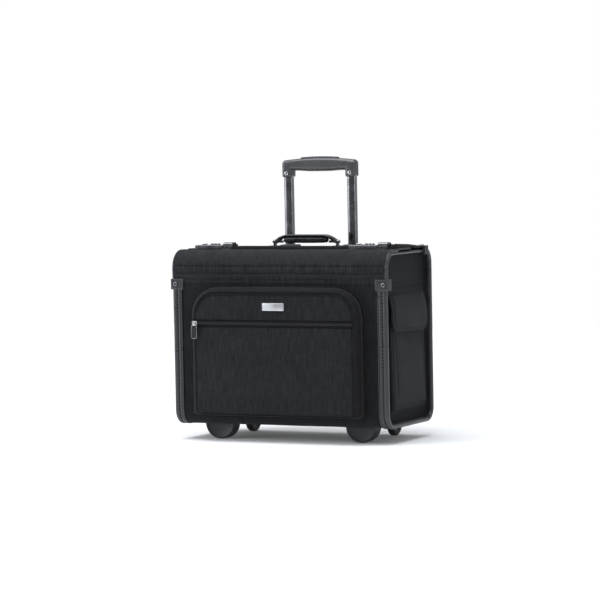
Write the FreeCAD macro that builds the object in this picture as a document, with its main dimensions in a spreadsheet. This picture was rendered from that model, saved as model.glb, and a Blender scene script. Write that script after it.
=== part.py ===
"""Pilot rolling flight case: a fabric-covered board case with a front flap and a rear-hinged lid, two
combination locks, a carry handle, zipped and flapped pockets, a two-stage trolley handle and rear wheels.

Frame: X across the case, Y from front to back, Z up, origin on the floor under the middle of the whole case.
Heights in the sheet count from the case's underside and depths from its front plane, unless a note says
otherwise.
"""

import FreeCAD, Part
import os
import re

import Sketcher

# Driving dimensions, in millimetres: alias, value, what it is.
DIMENSIONS = (
    ("case_width", 460, "over both edge trims"),
    ("case_depth", 216, "front plane to back plane"),
    ("case_height", 341, "underside to the top of the rear strip"),
    ("ground_gap", 30.5, "floor to the case's underside"),
    ("front_y", -93.3, "where the front plane lies, so that the whole case is centred"),
    ("board", 5, "covered board of the wrap"),
    ("skin", 1.5, "thickness of the edge trim"),
    ("end_skin", 2, "edge trim beyond the wrap's ends"),
    ("low_corner", 28, "outer radius of the two bottom corners"),
    ("rear_corner", 32, "outer radius of the rear top corner"),
    ("flap_corner", 35, "outer radius of the front flap"),
    ("rim_corner", 30, "outer radius of the end rims"),
    ("trim_face", 21, "edge trim across the outside"),
    ("trim_lip", 15, "edge trim across the recess, and the recess of each end"),
    ("panel", 4, "thickness of the end panels"),
    ("front_edge", 283, "top edge of the fixed front"),
    ("strip_start", 175, "front edge of the rear top strip"),
    ("rim_inset", 4.9, "end rims behind the front plane"),
    ("rim_top", 335.4, "top of the end rims"),
    ("rim_wall", 7, "thickness of the end rims"),
    ("panel_top", 333, "top of the end panels"),
    ("clip_low", 264.5, "lower edge of the front clips"),
    ("clip_high", 285.3, "upper edge of the front clips"),
    ("clip_face", 24, "clips across the outside"),
    ("clip_wall", 1.6, "thickness of the clips' faces"),
    ("clip_end", 3, "clips beyond the ends of the case"),
    ("clip_wrap", 15, "clips across the ends of the case"),
    ("clip_rear", 191, "rear edge of the top clips"),
    ("rivet_x", 222.6, "rivets from the middle"),
    ("rivet_radius", 4.4, "rivet head"),
    ("rivet_dome", 2.2, "rivet head's height"),
    ("rivet_round", 1.9, "rounding of the rivet heads"),
    ("flap_low", 285.8, "lower edge of the front flap"),
    ("flap_top", 340.5, "top of the front flap"),
    ("flap_reach", 55.5, "front flap back over the top"),
    ("flap_wall", 4.4, "front flap with its edging"),
    ("flap_skin", 0.8, "edging of the front flap"),
    ("flap_edging", 5, "edging across the front flap"),
    ("lid_front", 56.3, "front edge of the lid"),
    ("lid_rear", 174, "rear edge of the lid"),
    ("lid_width", 452, "lid's cover from side to side"),
    ("lid_board_width", 428, "lid board from side to side, between the end rims"),
    ("lid_floor", 333.6, "underside of the lid board"),
    ("lid_seam", 338, "top of the lid board"),
    ("lid_top", 347, "top of the lid's padded cover at its front edge"),
    ("lid_back", 341, "top of that cover at the rear"),
    ("lid_edge", 2.4, "rounding of the lid's cover"),
    ("pocket_half", 180, "front pocket, half its width"),
    ("pocket_depth", 22, "front pocket proud of the front plane"),
    ("pocket_low", 21, "front pocket's lower edge"),
    ("pocket_high", 270, "front pocket's upper edge"),
    ("pocket_corner", 55, "front pocket's top corners"),
    ("pocket_edge", 6, "rounding round the front pocket's face"),
    ("pocket_wall", 3, "fabric and lining of the pockets"),
    ("zip_height", 200.5, "middle of the zip"),
    ("zip_left", 178, "zip's left end from the middle"),
    ("zip_right", 182, "zip's right end from the middle"),
    ("tape_half", 5, "half the zip tape's width"),
    ("tape_wall", 0.6, "zip tape"),
    ("chain_half", 1.6, "half the zip chain's width"),
    ("chain_wall", 0.8, "zip chain proud of its tape"),
    ("slider_x", -169.5, "middle of the zip slider"),
    ("slider_long", 11, "zip slider along the zip"),
    ("slider_tall", 8, "zip slider across the zip"),
    ("slider_wall", 2.4, "zip slider's top plate"),
    ("slider_gap", 0.3, "slider off the chain, and pull off the slider"),
    ("pull_eye", 1.5, "outer radius of the pull's eye"),
    ("pull_pin", 0.8, "radius of the pull's pin"),
    ("pull_width", 13, "pull from side to side"),
    ("pull_long", 30, "pull below its pin"),
    ("pull_wall", 1.6, "pull's thickness"),
    ("pull_corner", 2.5, "pull's corners"),
    ("pull_neck", 1.4, "neck of the pull, half its width"),
    ("neck_long", 4.5, "neck of the pull, from its pin"),
    ("ear_start", 1.8, "slider's ears, inner faces from its middle"),
    ("ear_end", 3, "slider's ears, outer faces from its middle"),
    ("badge_half", 23, "badge, half its width"),
    ("badge_low", 226, "badge's lower edge"),
    ("badge_high", 240.4, "badge's upper edge"),
    ("badge_wall", 1.5, "badge's thickness"),
    ("side_proud", 11.5, "side pocket proud of its end panel"),
    ("side_front", 32, "side pocket's front edge"),
    ("side_rear", 194, "side pocket's rear edge"),
    ("side_low", 31, "side pocket's lower edge"),
    ("side_high", 250, "side pocket's mouth"),
    ("side_corner", 14, "side pocket's bottom corners"),
    ("cover_front", 27, "side pocket flap's front edge"),
    ("cover_rear", 196, "side pocket flap's rear edge"),
    ("cover_low", 182, "side pocket flap's lower edge"),
    ("cover_high", 257, "side pocket flap's top"),
    ("cover_wall", 3.4, "side pocket flap's thickness"),
    ("cover_corner", 18, "side pocket flap's lower corners"),
    ("cover_gap", 0.6, "side pocket flap off its pocket"),
    ("foot_x", 152, "front feet from the middle"),
    ("foot_radius", 31, "front feet"),
    ("foot_front", 39, "front face of the front feet"),
    ("foot_wide", 26, "front feet from front to back"),
    ("foot_round", 2, "rounding of the feet's rims"),
    ("foot_screw_gap", 14, "between a foot's two screws, half"),
    ("foot_screw", 1.8, "foot screws"),
    ("foot_screw_head", 4, "foot screws' heads"),
    ("foot_head_high", 2.2, "height of those heads"),
    ("foot_screw_long", 9, "foot screws below the case's underside"),
    ("wheel_x", 155, "wheels from the middle"),
    ("wheel_y", 190, "wheel axles behind the front plane"),
    ("wheel_radius", 25, "tyres"),
    ("wheel_wide", 14, "tyres from side to side"),
    ("hub_radius", 16.5, "hubs"),
    ("hub_wide", 12, "hubs from side to side"),
    ("axle_radius", 3, "wheel axles"),
    ("axle_play", 0.05, "running clearance of every pin and axle"),
    ("housing_half", 14, "wheel housing, half its width"),
    ("housing_front", 159, "wheel housing's front face"),
    ("housing_low", 11, "wheel housing below the case's underside"),
    ("housing_high", 25, "wheel housing inside the case"),
    ("well_play", 2.6, "wheel well round the tyre"),
    ("tube_x", 69, "trolley tubes from the middle"),
    ("tube_y", 198, "trolley tubes behind the front plane"),
    ("inner_long", 19, "inner tube across the case"),
    ("inner_deep", 14, "inner tube from front to back"),
    ("mid_long", 22, "middle tube across the case"),
    ("mid_deep", 17, "middle tube from front to back"),
    ("outer_long", 25, "outer tube across the case"),
    ("outer_deep", 20, "outer tube from front to back"),
    ("tube_wall", 1.1, "wall of every tube"),
    ("tube_round", 3, "rounding of the tubes' edges"),
    ("inner_low", 188, "inner tubes' lower ends"),
    ("inner_high", 497, "inner tubes' upper ends"),
    ("mid_low", 34, "middle tubes' lower ends"),
    ("mid_high", 341.5, "middle tubes' upper ends"),
    ("outer_low", 22, "outer tubes' lower ends"),
    ("outer_high", 310, "outer tubes' upper ends"),
    ("plug_lip", 7, "height of the plugs' lips"),
    ("bezel_half", 17, "tube bezels, half their width"),
    ("bezel_front", 184.5, "tube bezels' front edge"),
    ("bezel_rear", 211.5, "tube bezels' rear edge"),
    ("bezel_top", 344, "top of the tube bezels"),
    ("grip_half", 80, "trolley grip, half its width"),
    ("grip_deep", 22, "trolley grip from front to back"),
    ("grip_low", 488.5, "underside of the trolley grip"),
    ("grip_top", 515, "top of the trolley grip"),
    ("grip_round", 8, "rounding of the trolley grip"),
    ("socket_low", 477.5, "underside of the grip's end sockets"),
    ("socket_top", 500, "top of the grip's end sockets"),
    ("socket_inside", 58, "end sockets' inner faces from the middle"),
    ("button_half", 41, "release button, half its width"),
    ("button_deep", 13, "release button from front to back"),
    ("button_top", 518, "top of the release button"),
    ("rod_radius", 2.2, "push rods"),
    ("lock_left_x", -208, "left end of the left lock"),
    ("lock_right_x", 125, "left end of the right lock"),
    ("lock_long", 60, "lock body"),
    ("lock_deep", 19.7, "lock body from front to back"),
    ("lock_floor", 341, "underside of the locks"),
    ("lock_top", 348.5, "top of the lock body"),
    ("lock_wall", 1.2, "wall of the lock body"),
    ("lock_play", 0.5, "room in the lid's cover at each end of a lock"),
    ("lock_behind", 3, "room in the lid's cover behind a lock"),
    ("dial_room", 2, "room in the lid's cover under the dials"),
    ("dial_radius", 6, "lock dials"),
    ("dial_wide", 4.4, "lock dials from side to side"),
    ("dial_height", 345.6, "middle of the dials"),
    ("dial_depth", 66.2, "middle of the dials behind the front plane"),
    ("dial_first", 33, "first dial from the lock's left end"),
    ("dial_pitch", 7, "from dial to dial"),
    ("spindle_radius", 1.4, "dial spindle"),
    ("thumb_start", 13, "lock slider from the lock's left end"),
    ("thumb_long", 8, "lock slider's button"),
    ("thumb_travel", 5, "lock slider's travel"),
    ("latch_start", 61.8, "latch lever from the lock's left end"),
    ("latch_long", 19.4, "latch lever from side to side"),
    ("latch_base", 84, "latch's base plate, from the lock's left end"),
    ("latch_low", 344.5, "underside of the latch lever"),
    ("latch_top", 353.5, "top of the latch lever"),
    ("latch_pin_depth", 74.5, "latch pin behind the front plane"),
    ("latch_pin_height", 347, "latch pin"),
    ("latch_pin_radius", 1.2, "latch pin"),
    ("handle_y", 129, "carry handle behind the front plane"),
    ("handle_pivot", 352.5, "carry handle's pins"),
    ("handle_half", 58, "carry handle's padded grip, half its length"),
    ("handle_low", 350.4, "underside of the grip"),
    ("handle_top", 366.6, "top of the grip"),
    ("handle_deep", 16, "grip from front to back"),
    ("lug_start", 65.9, "bracket lugs from the middle"),
    ("lug_end", 70, "outer faces of the bracket lugs"),
    ("wheel_side_play", 1.6, "wheel well beside the tyre"),
    ("tyre_round", 4, "rounding of the tyres"),
    ("hub_rim", 2.5, "wall of the hubs' rims"),
    ("hub_boss", 3.5, "wall round the hubs' bores"),
    ("hub_dish", 3, "depth of the hubs' dishes"),
    ("housing_corner", 9, "rounding of the wheel housings' lower rear edge"),
    ("plug_stem", 9, "plugs inside their tubes"),
    ("rod_play", 0.6, "room round the push rods"),
    ("rod_gap", 5, "push rods above their plugs"),
    ("base_wall", 6, "walls of the trolley's base bracket"),
    ("base_socket", 14, "depth of the base bracket's sockets"),
    ("bezel_wall", 2, "walls of the bezels' necks"),
    ("bezel_play", 0.35, "room between bezel and middle tube"),
    ("bezel_gap", 4, "bezels above the outer tubes"),
    ("bezel_round", 2.5, "rounding of the bezels' tops"),
    ("button_well", 5, "grip's floor below the sockets' tops"),
    ("button_rise", 2, "button's underside above the sockets' tops"),
    ("button_play", 0.5, "room round the release button"),
    ("button_round", 2.5, "rounding of the release button"),
    ("yoke_end", 4, "button's yoke past the tubes' middles"),
    ("yoke_half", 4, "button's yoke, half its depth"),
    ("yoke_tall", 3.5, "height of the button's yoke"),
    ("socket_round", 5, "rounding of the end sockets' corners"),
    ("grip_screw", 3.2, "screw heads on the grip"),
    ("screw_head", 1.3, "height of those heads"),
    ("screw_height", 486, "those screws"),
    ("spring_wire", 0.4, "radius of the springs' wire"),
    ("spring_radius", 3, "button springs"),
    ("spring_turns", 4, "turns of each button spring"),
    ("spring_x", 49, "button springs from the middle"),
    ("lock_round", 1, "rounding of the locks' tops"),
    ("dial_round", 0.5, "rounding of the dials"),
    ("dial_play", 0.5, "room round the dials and the slider's stem"),
    ("thumb_tall", 3, "lock slider's button above the lock"),
    ("thumb_half", 3.4, "lock slider's button, half its depth"),
    ("thumb_round", 0.8, "rounding of that button"),
    ("stem_half", 1.6, "lock slider's stem, half its depth"),
    ("stem_inset", 2, "lock slider's stem inside its button"),
    ("latch_wall", 1.2, "latch's base plate and ears"),
    ("latch_heel", 2, "latch lever behind its pin"),
    ("latch_round", 3.8, "rounding of the latch lever's top"),
    ("ear_half", 3, "latch's ears, half their depth"),
    ("pull_gap", 0.3, "sliding and turning pieces off their neighbours"),
    ("plate_inside", 6, "handle brackets' plates inside their lugs"),
    ("plate_outside", 8, "handle brackets' plates outside their lugs"),
    ("plate_half", 10, "handle brackets' plates, half their depth"),
    ("plate_seat", 342.6, "underside of those plates"),
    ("plate_wall", 2.2, "thickness of those plates"),
    ("plate_corner", 4, "corners of those plates"),
    ("eye_radius", 3.6, "eyes of the handle's loops, and the lugs"),
    ("eye_wide", 3.6, "eyes from side to side"),
    ("pin_radius", 1.8, "handle's pins"),
    ("neck_half", 2.8, "neck between eye and grip, half its depth"),
    ("neck_sunk", 8, "necks inside the grip"),
    ("handle_slope", 16, "grip's falling ends"),
    ("handle_dip", 1.4, "grip's ends lower than its underside"),
    ("handle_fall", 8.5, "grip's ends lower than its top"),
    ("handle_round", 3.6, "rounding of the grip"),
)

FRONT = "front_y"
REAR = "(front_y + case_depth)"
BASE = "ground_gap"
TOP = "(ground_gap + case_height)"
HALF = "case_width / 2"
DIALS = 3

doc = FreeCAD.newDocument("pilot_case")
sheet = doc.addObject("Spreadsheet::Sheet", "Dims")
nodes = []


def fill_sheet():
    """One row per driving dimension: the value, with its alias, and what it is."""
    for row, (alias, value, note) in enumerate(DIMENSIONS, start=1):
        sheet.set(f"A{row}", str(value))
        sheet.setAlias(f"A{row}", alias)
        sheet.set(f"B{row}", note)
    doc.recompute()


def bound(text):
    """The sheet expression for a sum written with bare aliases."""
    return re.sub(r"[a-z][a-z_]*", lambda word: "Dims." + word.group(), str(text))


def size(text):
    """The number that such a sum comes to."""
    return float(sheet.evalExpression(bound(text)))


def bind(obj, **sums):
    """Binds each property, with __ written for a dot, to its sum."""
    for name, text in sums.items():
        obj.setExpression(name.replace("__", "."), bound(text))
    return obj


def node(obj, label):
    """Names the finished sub-part and puts it on the list to write."""
    obj.Label = label
    nodes.append(obj)
    return obj


# Solids ---------------------------------------------------------------------------------------------------

def box(x, y, z):
    """A block from (low, high) along each axis."""
    block = doc.addObject("Part::Box", "block")
    bind(block, Length=f"({x[1]}) - ({x[0]})", Width=f"({y[1]}) - ({y[0]})", Height=f"({z[1]}) - ({z[0]})")
    return bind(block, Placement__Base__x=x[0], Placement__Base__y=y[0], Placement__Base__z=z[0])


TURNS = {
    "x": FreeCAD.Rotation(FreeCAD.Vector(0, 1, 0), 90),
    "y": FreeCAD.Rotation(FreeCAD.Vector(1, 0, 0), -90),
    "z": FreeCAD.Rotation(),
}


def rod(axis, radius, span, centre):
    """A round bar along an axis, from low to high; centre holds its place on the other two axes, in order."""
    bar = doc.addObject("Part::Cylinder", "bar")
    bar.Placement = FreeCAD.Placement(FreeCAD.Vector(), TURNS[axis])
    bind(bar, Radius=radius, Height=f"({span[1]}) - ({span[0]})")
    place = dict(zip([a for a in "xyz" if a != axis], centre))
    place[axis] = span[0]
    return bind(bar, **{f"Placement__Base__{a}": place[a] for a in "xyz"})


PLANES = {"YZ": "x", "XZ": "y", "XY": "z"}


def datum(body, role):
    """One of a body's own planes or axes."""
    return next(f for f in body.Origin.OriginFeatures if f.Role == role)


def polygon(body, plane, corners):
    """A closed sketch whose corners are tied to the sheet."""
    sketch = body.newObject("Sketcher::SketchObject", "outline")
    sketch.AttachmentSupport = [(datum(body, plane + "_Plane"), "")]
    sketch.MapMode = "FlatFace"
    points = [FreeCAD.Vector(size(u), size(v), 0) for u, v in corners]
    for start, end in zip(points, points[1:] + points[:1]):
        sketch.addGeometry(Part.LineSegment(start, end), False)
    for k, (u, v) in enumerate(corners):
        sketch.addConstraint(Sketcher.Constraint("Coincident", k - 1 if k else len(corners) - 1, 2, k, 1))
        for kind, text in (("DistanceX", u), ("DistanceY", v)):
            index = sketch.addConstraint(Sketcher.Constraint(kind, -1, 1, k, 1, size(text)))
            sketch.setExpression(f"Constraints[{index}]", bound(text))
    return sketch


def prism(plane, corners, span):
    """A polygon in a plane, padded from low to high across it."""
    body = doc.addObject("PartDesign::Body", "prism")
    pad = body.newObject("PartDesign::Pad", "pad")
    pad.Profile = polygon(body, plane, corners)
    bind(pad, Length=f"({span[1]}) - ({span[0]})")
    body.Tip = pad
    foot = span[1] if plane == "XZ" else span[0]
    bind(body, **{f"Placement__Base__{PLANES[plane]}": foot})
    doc.recompute()
    return body


def across(edge, plane, u, v):
    """Whether a straight edge crosses the plane at (u, v)."""
    pick = {"YZ": (1, 2), "XZ": (0, 2), "XY": (0, 1)}[plane]
    return len(edge.Vertexes) == 2 and all(
        abs(w.Point[pick[0]] - u) < 1e-3 and abs(w.Point[pick[1]] - v) < 1e-3 for w in edge.Vertexes
    )


def round_corner(body, plane, radius, *corners):
    """Rounds a prism's edges at these corners of its polygon."""
    solid = body.Tip
    edges = []
    for u, v in corners:
        spot = size(u), size(v)
        edges += [f"Edge{k}" for k, e in enumerate(solid.Shape.Edges, start=1) if across(e, plane, *spot)]
    fillet = body.newObject("PartDesign::Fillet", "rounding")
    fillet.Base = (solid, edges)
    bind(fillet, Radius=radius)
    body.Tip = fillet
    doc.recompute()
    return body


def soften(obj, radius, chosen):
    """Rounds the edges of any solid that the test picks out."""
    doc.recompute()
    fillet = doc.addObject("Part::Fillet", "softened")
    fillet.Base = obj
    wanted = [k for k, e in enumerate(obj.Shape.Edges, start=1) if chosen(e)]
    fillet.Edges = [(k, size(radius), size(radius)) for k in wanted]
    return fillet


def level(side, height):
    """A test for the edges whose box has this side, such as ZMin, at a height."""
    return lambda edge: abs(getattr(edge.BoundBox, side) - size(height)) < 1e-3


def about(middle, half):
    """(low, high) of a length that reaches half either side of its middle."""
    return f"{middle} - {half}", f"{middle} + {half}"


def joined(*parts):
    """One solid of several."""
    if len(parts) == 1:
        return parts[0]
    whole = doc.addObject("Part::MultiFuse", "joined")
    whole.Shapes = list(parts)
    return whole


def cut(base, *tools):
    """The base with the tools taken away."""
    rest = doc.addObject("Part::Cut", "cut")
    rest.Base = base
    rest.Tool = joined(*tools)
    return rest


def shared(first, second):
    """What two solids have in common."""
    part = doc.addObject("Part::Common", "shared")
    part.Base = first
    part.Tool = second
    return part


def mirrored(obj):
    """The same piece on the other side of the case."""
    other = doc.addObject("Part::Mirroring", "mirrored")
    other.Source = obj
    other.Normal = (1, 0, 0)
    return other


def group(*parts):
    """Separate solids in one node."""
    bunch = doc.addObject("Part::Compound", "group")
    bunch.Links = list(parts)
    return bunch


def pair(obj):
    """A piece and its mirror image, in one node."""
    return group(obj, mirrored(obj))


def both_sides(obj, label):
    """A piece on the right and its mirror image on the left, in nodes of their own."""
    node(obj, label + "_right")
    node(mirrored(obj), label + "_left")


def tube(long, deep, z, wall="tube_wall"):
    """A rounded rectangular tube round the right-hand trolley axis."""
    def bar(less, radius):
        x = (f"tube_x - {long} / 2 + {less}", f"tube_x + {long} / 2 - {less}")
        y = (f"{FRONT} + tube_y - {deep} / 2 + {less}", f"{FRONT} + tube_y + {deep} / 2 - {less}")
        corners = [(x[0], y[0]), (x[1], y[0]), (x[1], y[1]), (x[0], y[1])]
        return round_corner(prism("XY", corners, z), "XY", radius, *corners)
    if wall is None:
        return bar("0", "tube_round")
    return cut(bar("0", "tube_round"), bar(wall, f"tube_round - {wall}"))


# Case shell -----------------------------------------------------------------------------------------------

def wrap_band(outer, inner, span):
    """A strip round the front, bottom, back and rear top of the case, between two insets."""
    start = f"{BASE} + front_edge"
    end = f"{FRONT} + strip_start"
    corners = [
        (f"{FRONT} + {outer}", start),
        (f"{FRONT} + {outer}", f"{BASE} + {outer}"),
        (f"{REAR} - {outer}", f"{BASE} + {outer}"),
        (f"{REAR} - {outer}", f"{TOP} - {outer}"),
        (end, f"{TOP} - {outer}"),
        (end, f"{TOP} - {inner}"),
        (f"{REAR} - {inner}", f"{TOP} - {inner}"),
        (f"{REAR} - {inner}", f"{BASE} + {inner}"),
        (f"{FRONT} + {inner}", f"{BASE} + {inner}"),
        (f"{FRONT} + {inner}", start),
    ]
    band = prism("YZ", corners, span)
    round_corner(band, "YZ", f"low_corner - {outer}", corners[1], corners[2])
    round_corner(band, "YZ", f"rear_corner - {outer}", corners[3])
    round_corner(band, "YZ", f"low_corner - {inner}", corners[7], corners[8])
    return round_corner(band, "YZ", f"rear_corner - {inner}", corners[6])


def case_room(inset, span):
    """The space inside the case's outline at an inset, with its three rounded corners."""
    corners = [(f"{FRONT} + {inset}", f"{BASE} + {inset}"), (f"{REAR} - {inset}", f"{BASE} + {inset}"),
               (f"{REAR} - {inset}", f"{TOP} - {inset}"), (f"{FRONT} + {inset}", f"{TOP} - {inset}")]
    room = round_corner(prism("YZ", corners, span), "YZ", f"low_corner - {inset}", corners[0], corners[1])
    return round_corner(room, "YZ", f"rear_corner - {inset}", corners[2])


def housing_block():
    """The right wheel housing's outside, which is also the hole that it fills in the wrap."""
    x = ("wheel_x - housing_half", "wheel_x + housing_half")
    return box(x, (f"{FRONT} + housing_front", REAR), (f"{BASE} - housing_low", f"{BASE} + housing_high"))


def make_wrap():
    """The covered board that is the front, bottom, back and rear top strip in one."""
    width = (f"-({HALF} - end_skin)", f"{HALF} - end_skin")
    wrap = wrap_band("skin", "(skin + board)", width)
    slot = bezel_slot((f"{BASE} + outer_high + bezel_gap", f"{TOP} + 1"))
    housing = housing_block()
    node(cut(wrap, slot, mirrored(slot), housing, mirrored(housing)), "body_wrap")


def make_ends():
    """Each end is a panel set back in the case, with a rim that carries the front flap and the lid."""
    inset = "(skin + board)"
    face = (f"{HALF} - trim_lip - panel", f"{HALF} - trim_lip")
    corners = [
        (f"{FRONT} + {inset}", f"{BASE} + {inset}"),
        (f"{REAR} - {inset}", f"{BASE} + {inset}"),
        (f"{REAR} - {inset}", f"{BASE} + panel_top"),
        (f"{FRONT} + {inset}", f"{BASE} + panel_top"),
    ]
    end = prism("YZ", corners, face)
    round_corner(end, "YZ", f"low_corner - {inset}", corners[0], corners[1])
    round_corner(end, "YZ", f"rear_corner - {inset}", corners[2], corners[3])
    both_sides(end, "end_panel")

    low, high = f"{BASE} + front_edge + 1", f"{BASE} + rim_top"
    front, stop = f"{FRONT} + rim_inset", f"{FRONT} + strip_start"
    outline = [
        (front, low), (front, high), (stop, high),
        (stop, f"{high} - rim_wall"), (f"{front} + rim_wall", f"{high} - rim_wall"),
        (f"{front} + rim_wall", low),
    ]
    rim = prism("YZ", outline, (f"{HALF} - trim_lip", f"{HALF} - 1"))
    round_corner(rim, "YZ", "rim_corner", outline[1])
    node(pair(round_corner(rim, "YZ", "rim_corner - rim_wall", outline[4])), "end_rims")


def make_edge_trims():
    """Leatherette channels over both ends of the wrap."""
    wall = "(skin + board)"
    block = wrap_band("0", f"({wall} + skin)", (f"{HALF} - trim_face", HALF))
    slot = wrap_band("skin", wall, (f"{HALF} - trim_face - 1", f"{HALF} - end_skin"))
    below = wrap_band(wall, f"({wall} + skin + 1)", (f"{HALF} - trim_face - 1", f"{HALF} - trim_lip"))
    both_sides(cut(block, slot, below), "edge_trim")


def make_clips():
    """Metal clips that finish the ends of the edge trims, each with one domed rivet."""
    x = (f"{HALF} - clip_face", f"{HALF} + clip_end")
    tall = (f"{BASE} + clip_low", f"{BASE} + clip_high")
    face = box(x, (f"{FRONT} - clip_wall", FRONT), tall)
    end = box((HALF, x[1]), (f"{FRONT} - clip_wall", f"{FRONT} + clip_wrap"), tall)
    long = (f"{FRONT} + strip_start", f"{FRONT} + clip_rear")
    plate = f"{TOP} + clip_wall"
    top = box(x, long, (TOP, plate))
    top_end = box((HALF, x[1]), long, (f"{TOP} - clip_wrap", plate))
    outer_corner = size(x[1]), size(f"{FRONT} - clip_wall")
    corner = soften(joined(face, end), "clip_wall", lambda e: across(e, "XY", *outer_corner))
    node(group(*[p for c in (corner, joined(top, top_end)) for p in (c, mirrored(c))]), "trim_clips")

    front_dome = soften(
        rod("y", "rivet_radius", (f"{FRONT} - clip_wall - rivet_dome", f"{FRONT} - clip_wall"),
            ("rivet_x", f"{BASE} + (clip_low + clip_high) / 2")),
        "rivet_round", level("YMax", f"{FRONT} - clip_wall - rivet_dome"))
    top_dome = soften(
        rod("z", "rivet_radius", (plate, f"{plate} + rivet_dome"),
            ("rivet_x", f"{FRONT} + (strip_start + clip_rear) / 2")),
        "rivet_round", level("ZMin", f"{plate} + rivet_dome"))
    node(group(front_dome, mirrored(front_dome), top_dome, mirrored(top_dome)), "clip_rivets")


# Pockets --------------------------------------------------------------------------------------------------

def pocket_block(less, y):
    """The front pocket's outline, smaller by less all round, from front to back."""
    half = f"(pocket_half - {less})"
    low, high = f"{BASE} + pocket_low + {less}", f"{BASE} + pocket_high - {less}"
    corners = [(f"-{half}", low), (half, low), (half, high), (f"-{half}", high)]
    return round_corner(prism("XZ", corners, y), "XZ", f"pocket_corner - {less}", corners[2], corners[3])


def make_front_pocket():
    """The zipped front pocket, hollow and open towards the case's front, with its zip and a plain badge."""
    front = f"{FRONT} - pocket_depth"
    back = f"{FRONT} + skin"
    outside = pocket_block("0", (front, back))
    outside = soften(outside, "pocket_edge", level("YMax", front))
    inside = pocket_block("pocket_wall", (f"{front} + pocket_wall", f"{back} + 1"))
    node(cut(outside, inside), "front_pocket")

    middle = f"{BASE} + zip_height"
    run = ("-zip_left", "zip_right - pocket_edge")
    tape = box(run, (f"{front} - tape_wall", front), (f"{middle} - tape_half", f"{middle} + tape_half"))
    chain = (f"{front} - tape_wall - chain_wall", f"{front} - tape_wall")
    teeth = box(run, chain, (f"{middle} - chain_half", f"{middle} + chain_half"))
    tape_back = box(run, (front, f"{front} + 1"), (f"{middle} - tape_half", f"{middle} + tape_half"))
    node(cut(joined(tape, teeth), tape_back), "zip_tape")

    height = (f"{BASE} + badge_low", f"{BASE} + badge_high")
    badge = box(("-badge_half", "badge_half"), (f"{front} - badge_wall", front), height)
    node(soften(badge, "badge_wall / 3", level("YMax", f"{front} - badge_wall")),
         "badge_plate")


def make_zip_slider():
    """The slider with its two ears, and the pull that hangs from them."""
    chain = f"{FRONT} - pocket_depth - tape_wall - chain_wall"
    plate = f"({chain} - slider_gap - slider_wall)"
    pin_y = f"({plate} - slider_gap - pull_eye)"
    middle = f"{BASE} + zip_height"
    body = box(("slider_x - slider_long / 2", "slider_x + slider_long / 2"), (plate, f"{chain} - slider_gap"),
               (f"{middle} - slider_tall / 2", f"{middle} + slider_tall / 2"))
    body = soften(body, "slider_wall / 2", level("YMax", plate))
    ears = []
    for side in (-1, 1):
        reach = [f"slider_x + {side} * {face}" for face in ("ear_start", "ear_end")[::side]]
        ears.append(box(reach, (f"{pin_y} - pull_eye", f"{plate} + slider_wall / 4"),
                        about(middle, "pull_eye")))
    pin = rod("x", "pull_pin", about("slider_x", "(ear_start + ear_end) / 2"), (pin_y, middle))
    node(joined(body, pin, *ears), "zip_slider_body")

    eye = rod("x", "pull_eye", about("slider_x", "pull_neck"), (pin_y, middle))
    thick = (f"{pin_y} - pull_wall / 2", f"{pin_y} + pull_wall / 2")
    neck = box(about("slider_x", "pull_neck"), thick, (f"{middle} - neck_long - 1", middle))
    tab = box(("slider_x - pull_width / 2", "slider_x + pull_width / 2"), thick,
              (f"{middle} - pull_long", f"{middle} - neck_long"))
    hole = rod("x", "pull_pin + axle_play", about("slider_x", "(pull_neck + 1)"), (pin_y, middle))
    tab = soften(tab, "pull_corner", lambda e: e.Length < size("pull_wall") + 1e-3)
    node(cut(joined(eye, neck, tab), hole), "zip_pull_tab")


def make_side_pockets():
    """An open-topped pocket on each end panel, and the flap that folds down over its mouth."""
    panel = f"{HALF} - trim_lip"
    face = f"{panel} + side_proud"
    def bag(less, x, high):
        corners = [(f"{FRONT} + side_front + {less}", f"{BASE} + side_low + {less}"),
                   (f"{FRONT} + side_rear - {less}", f"{BASE} + side_low + {less}"),
                   (f"{FRONT} + side_rear - {less}", high), (f"{FRONT} + side_front + {less}", high)]
        return round_corner(prism("YZ", corners, x), "YZ", f"side_corner - {less}", corners[0], corners[1])
    outside = bag("0", (panel, face), f"{BASE} + side_high")
    mouth = size(f"{BASE} + side_high")
    outside = soften(outside, "pocket_wall", lambda e: level("XMin", face)(e) and e.BoundBox.ZMin < mouth - 1)
    inside = bag("pocket_wall", (f"{panel} - 1", f"{face} - pocket_wall"), f"{BASE} + side_high + 1")
    both_sides(cut(outside, inside), "side_pocket")

    x_in, x_out = f"{face} + cover_gap", f"{face} + cover_gap + cover_wall"
    top = (f"{BASE} + cover_high - cover_wall", f"{BASE} + cover_high")
    y = (f"{FRONT} + cover_front", f"{FRONT} + cover_rear")
    corners = [(y[0], f"{BASE} + cover_low"), (y[1], f"{BASE} + cover_low"), (y[1], top[1]), (y[0], top[1])]
    hanging = round_corner(prism("YZ", corners, (x_in, x_out)), "YZ", "cover_corner", corners[0], corners[1])
    whole = joined(hanging, box((f"{panel} + cover_gap", x_out), y, top))
    whole = soften(whole, "cover_wall * 0.4", level("XMin", x_out))
    both_sides(whole, "side_pocket_flap")


# Feet and wheels ------------------------------------------------------------------------------------------

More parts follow.
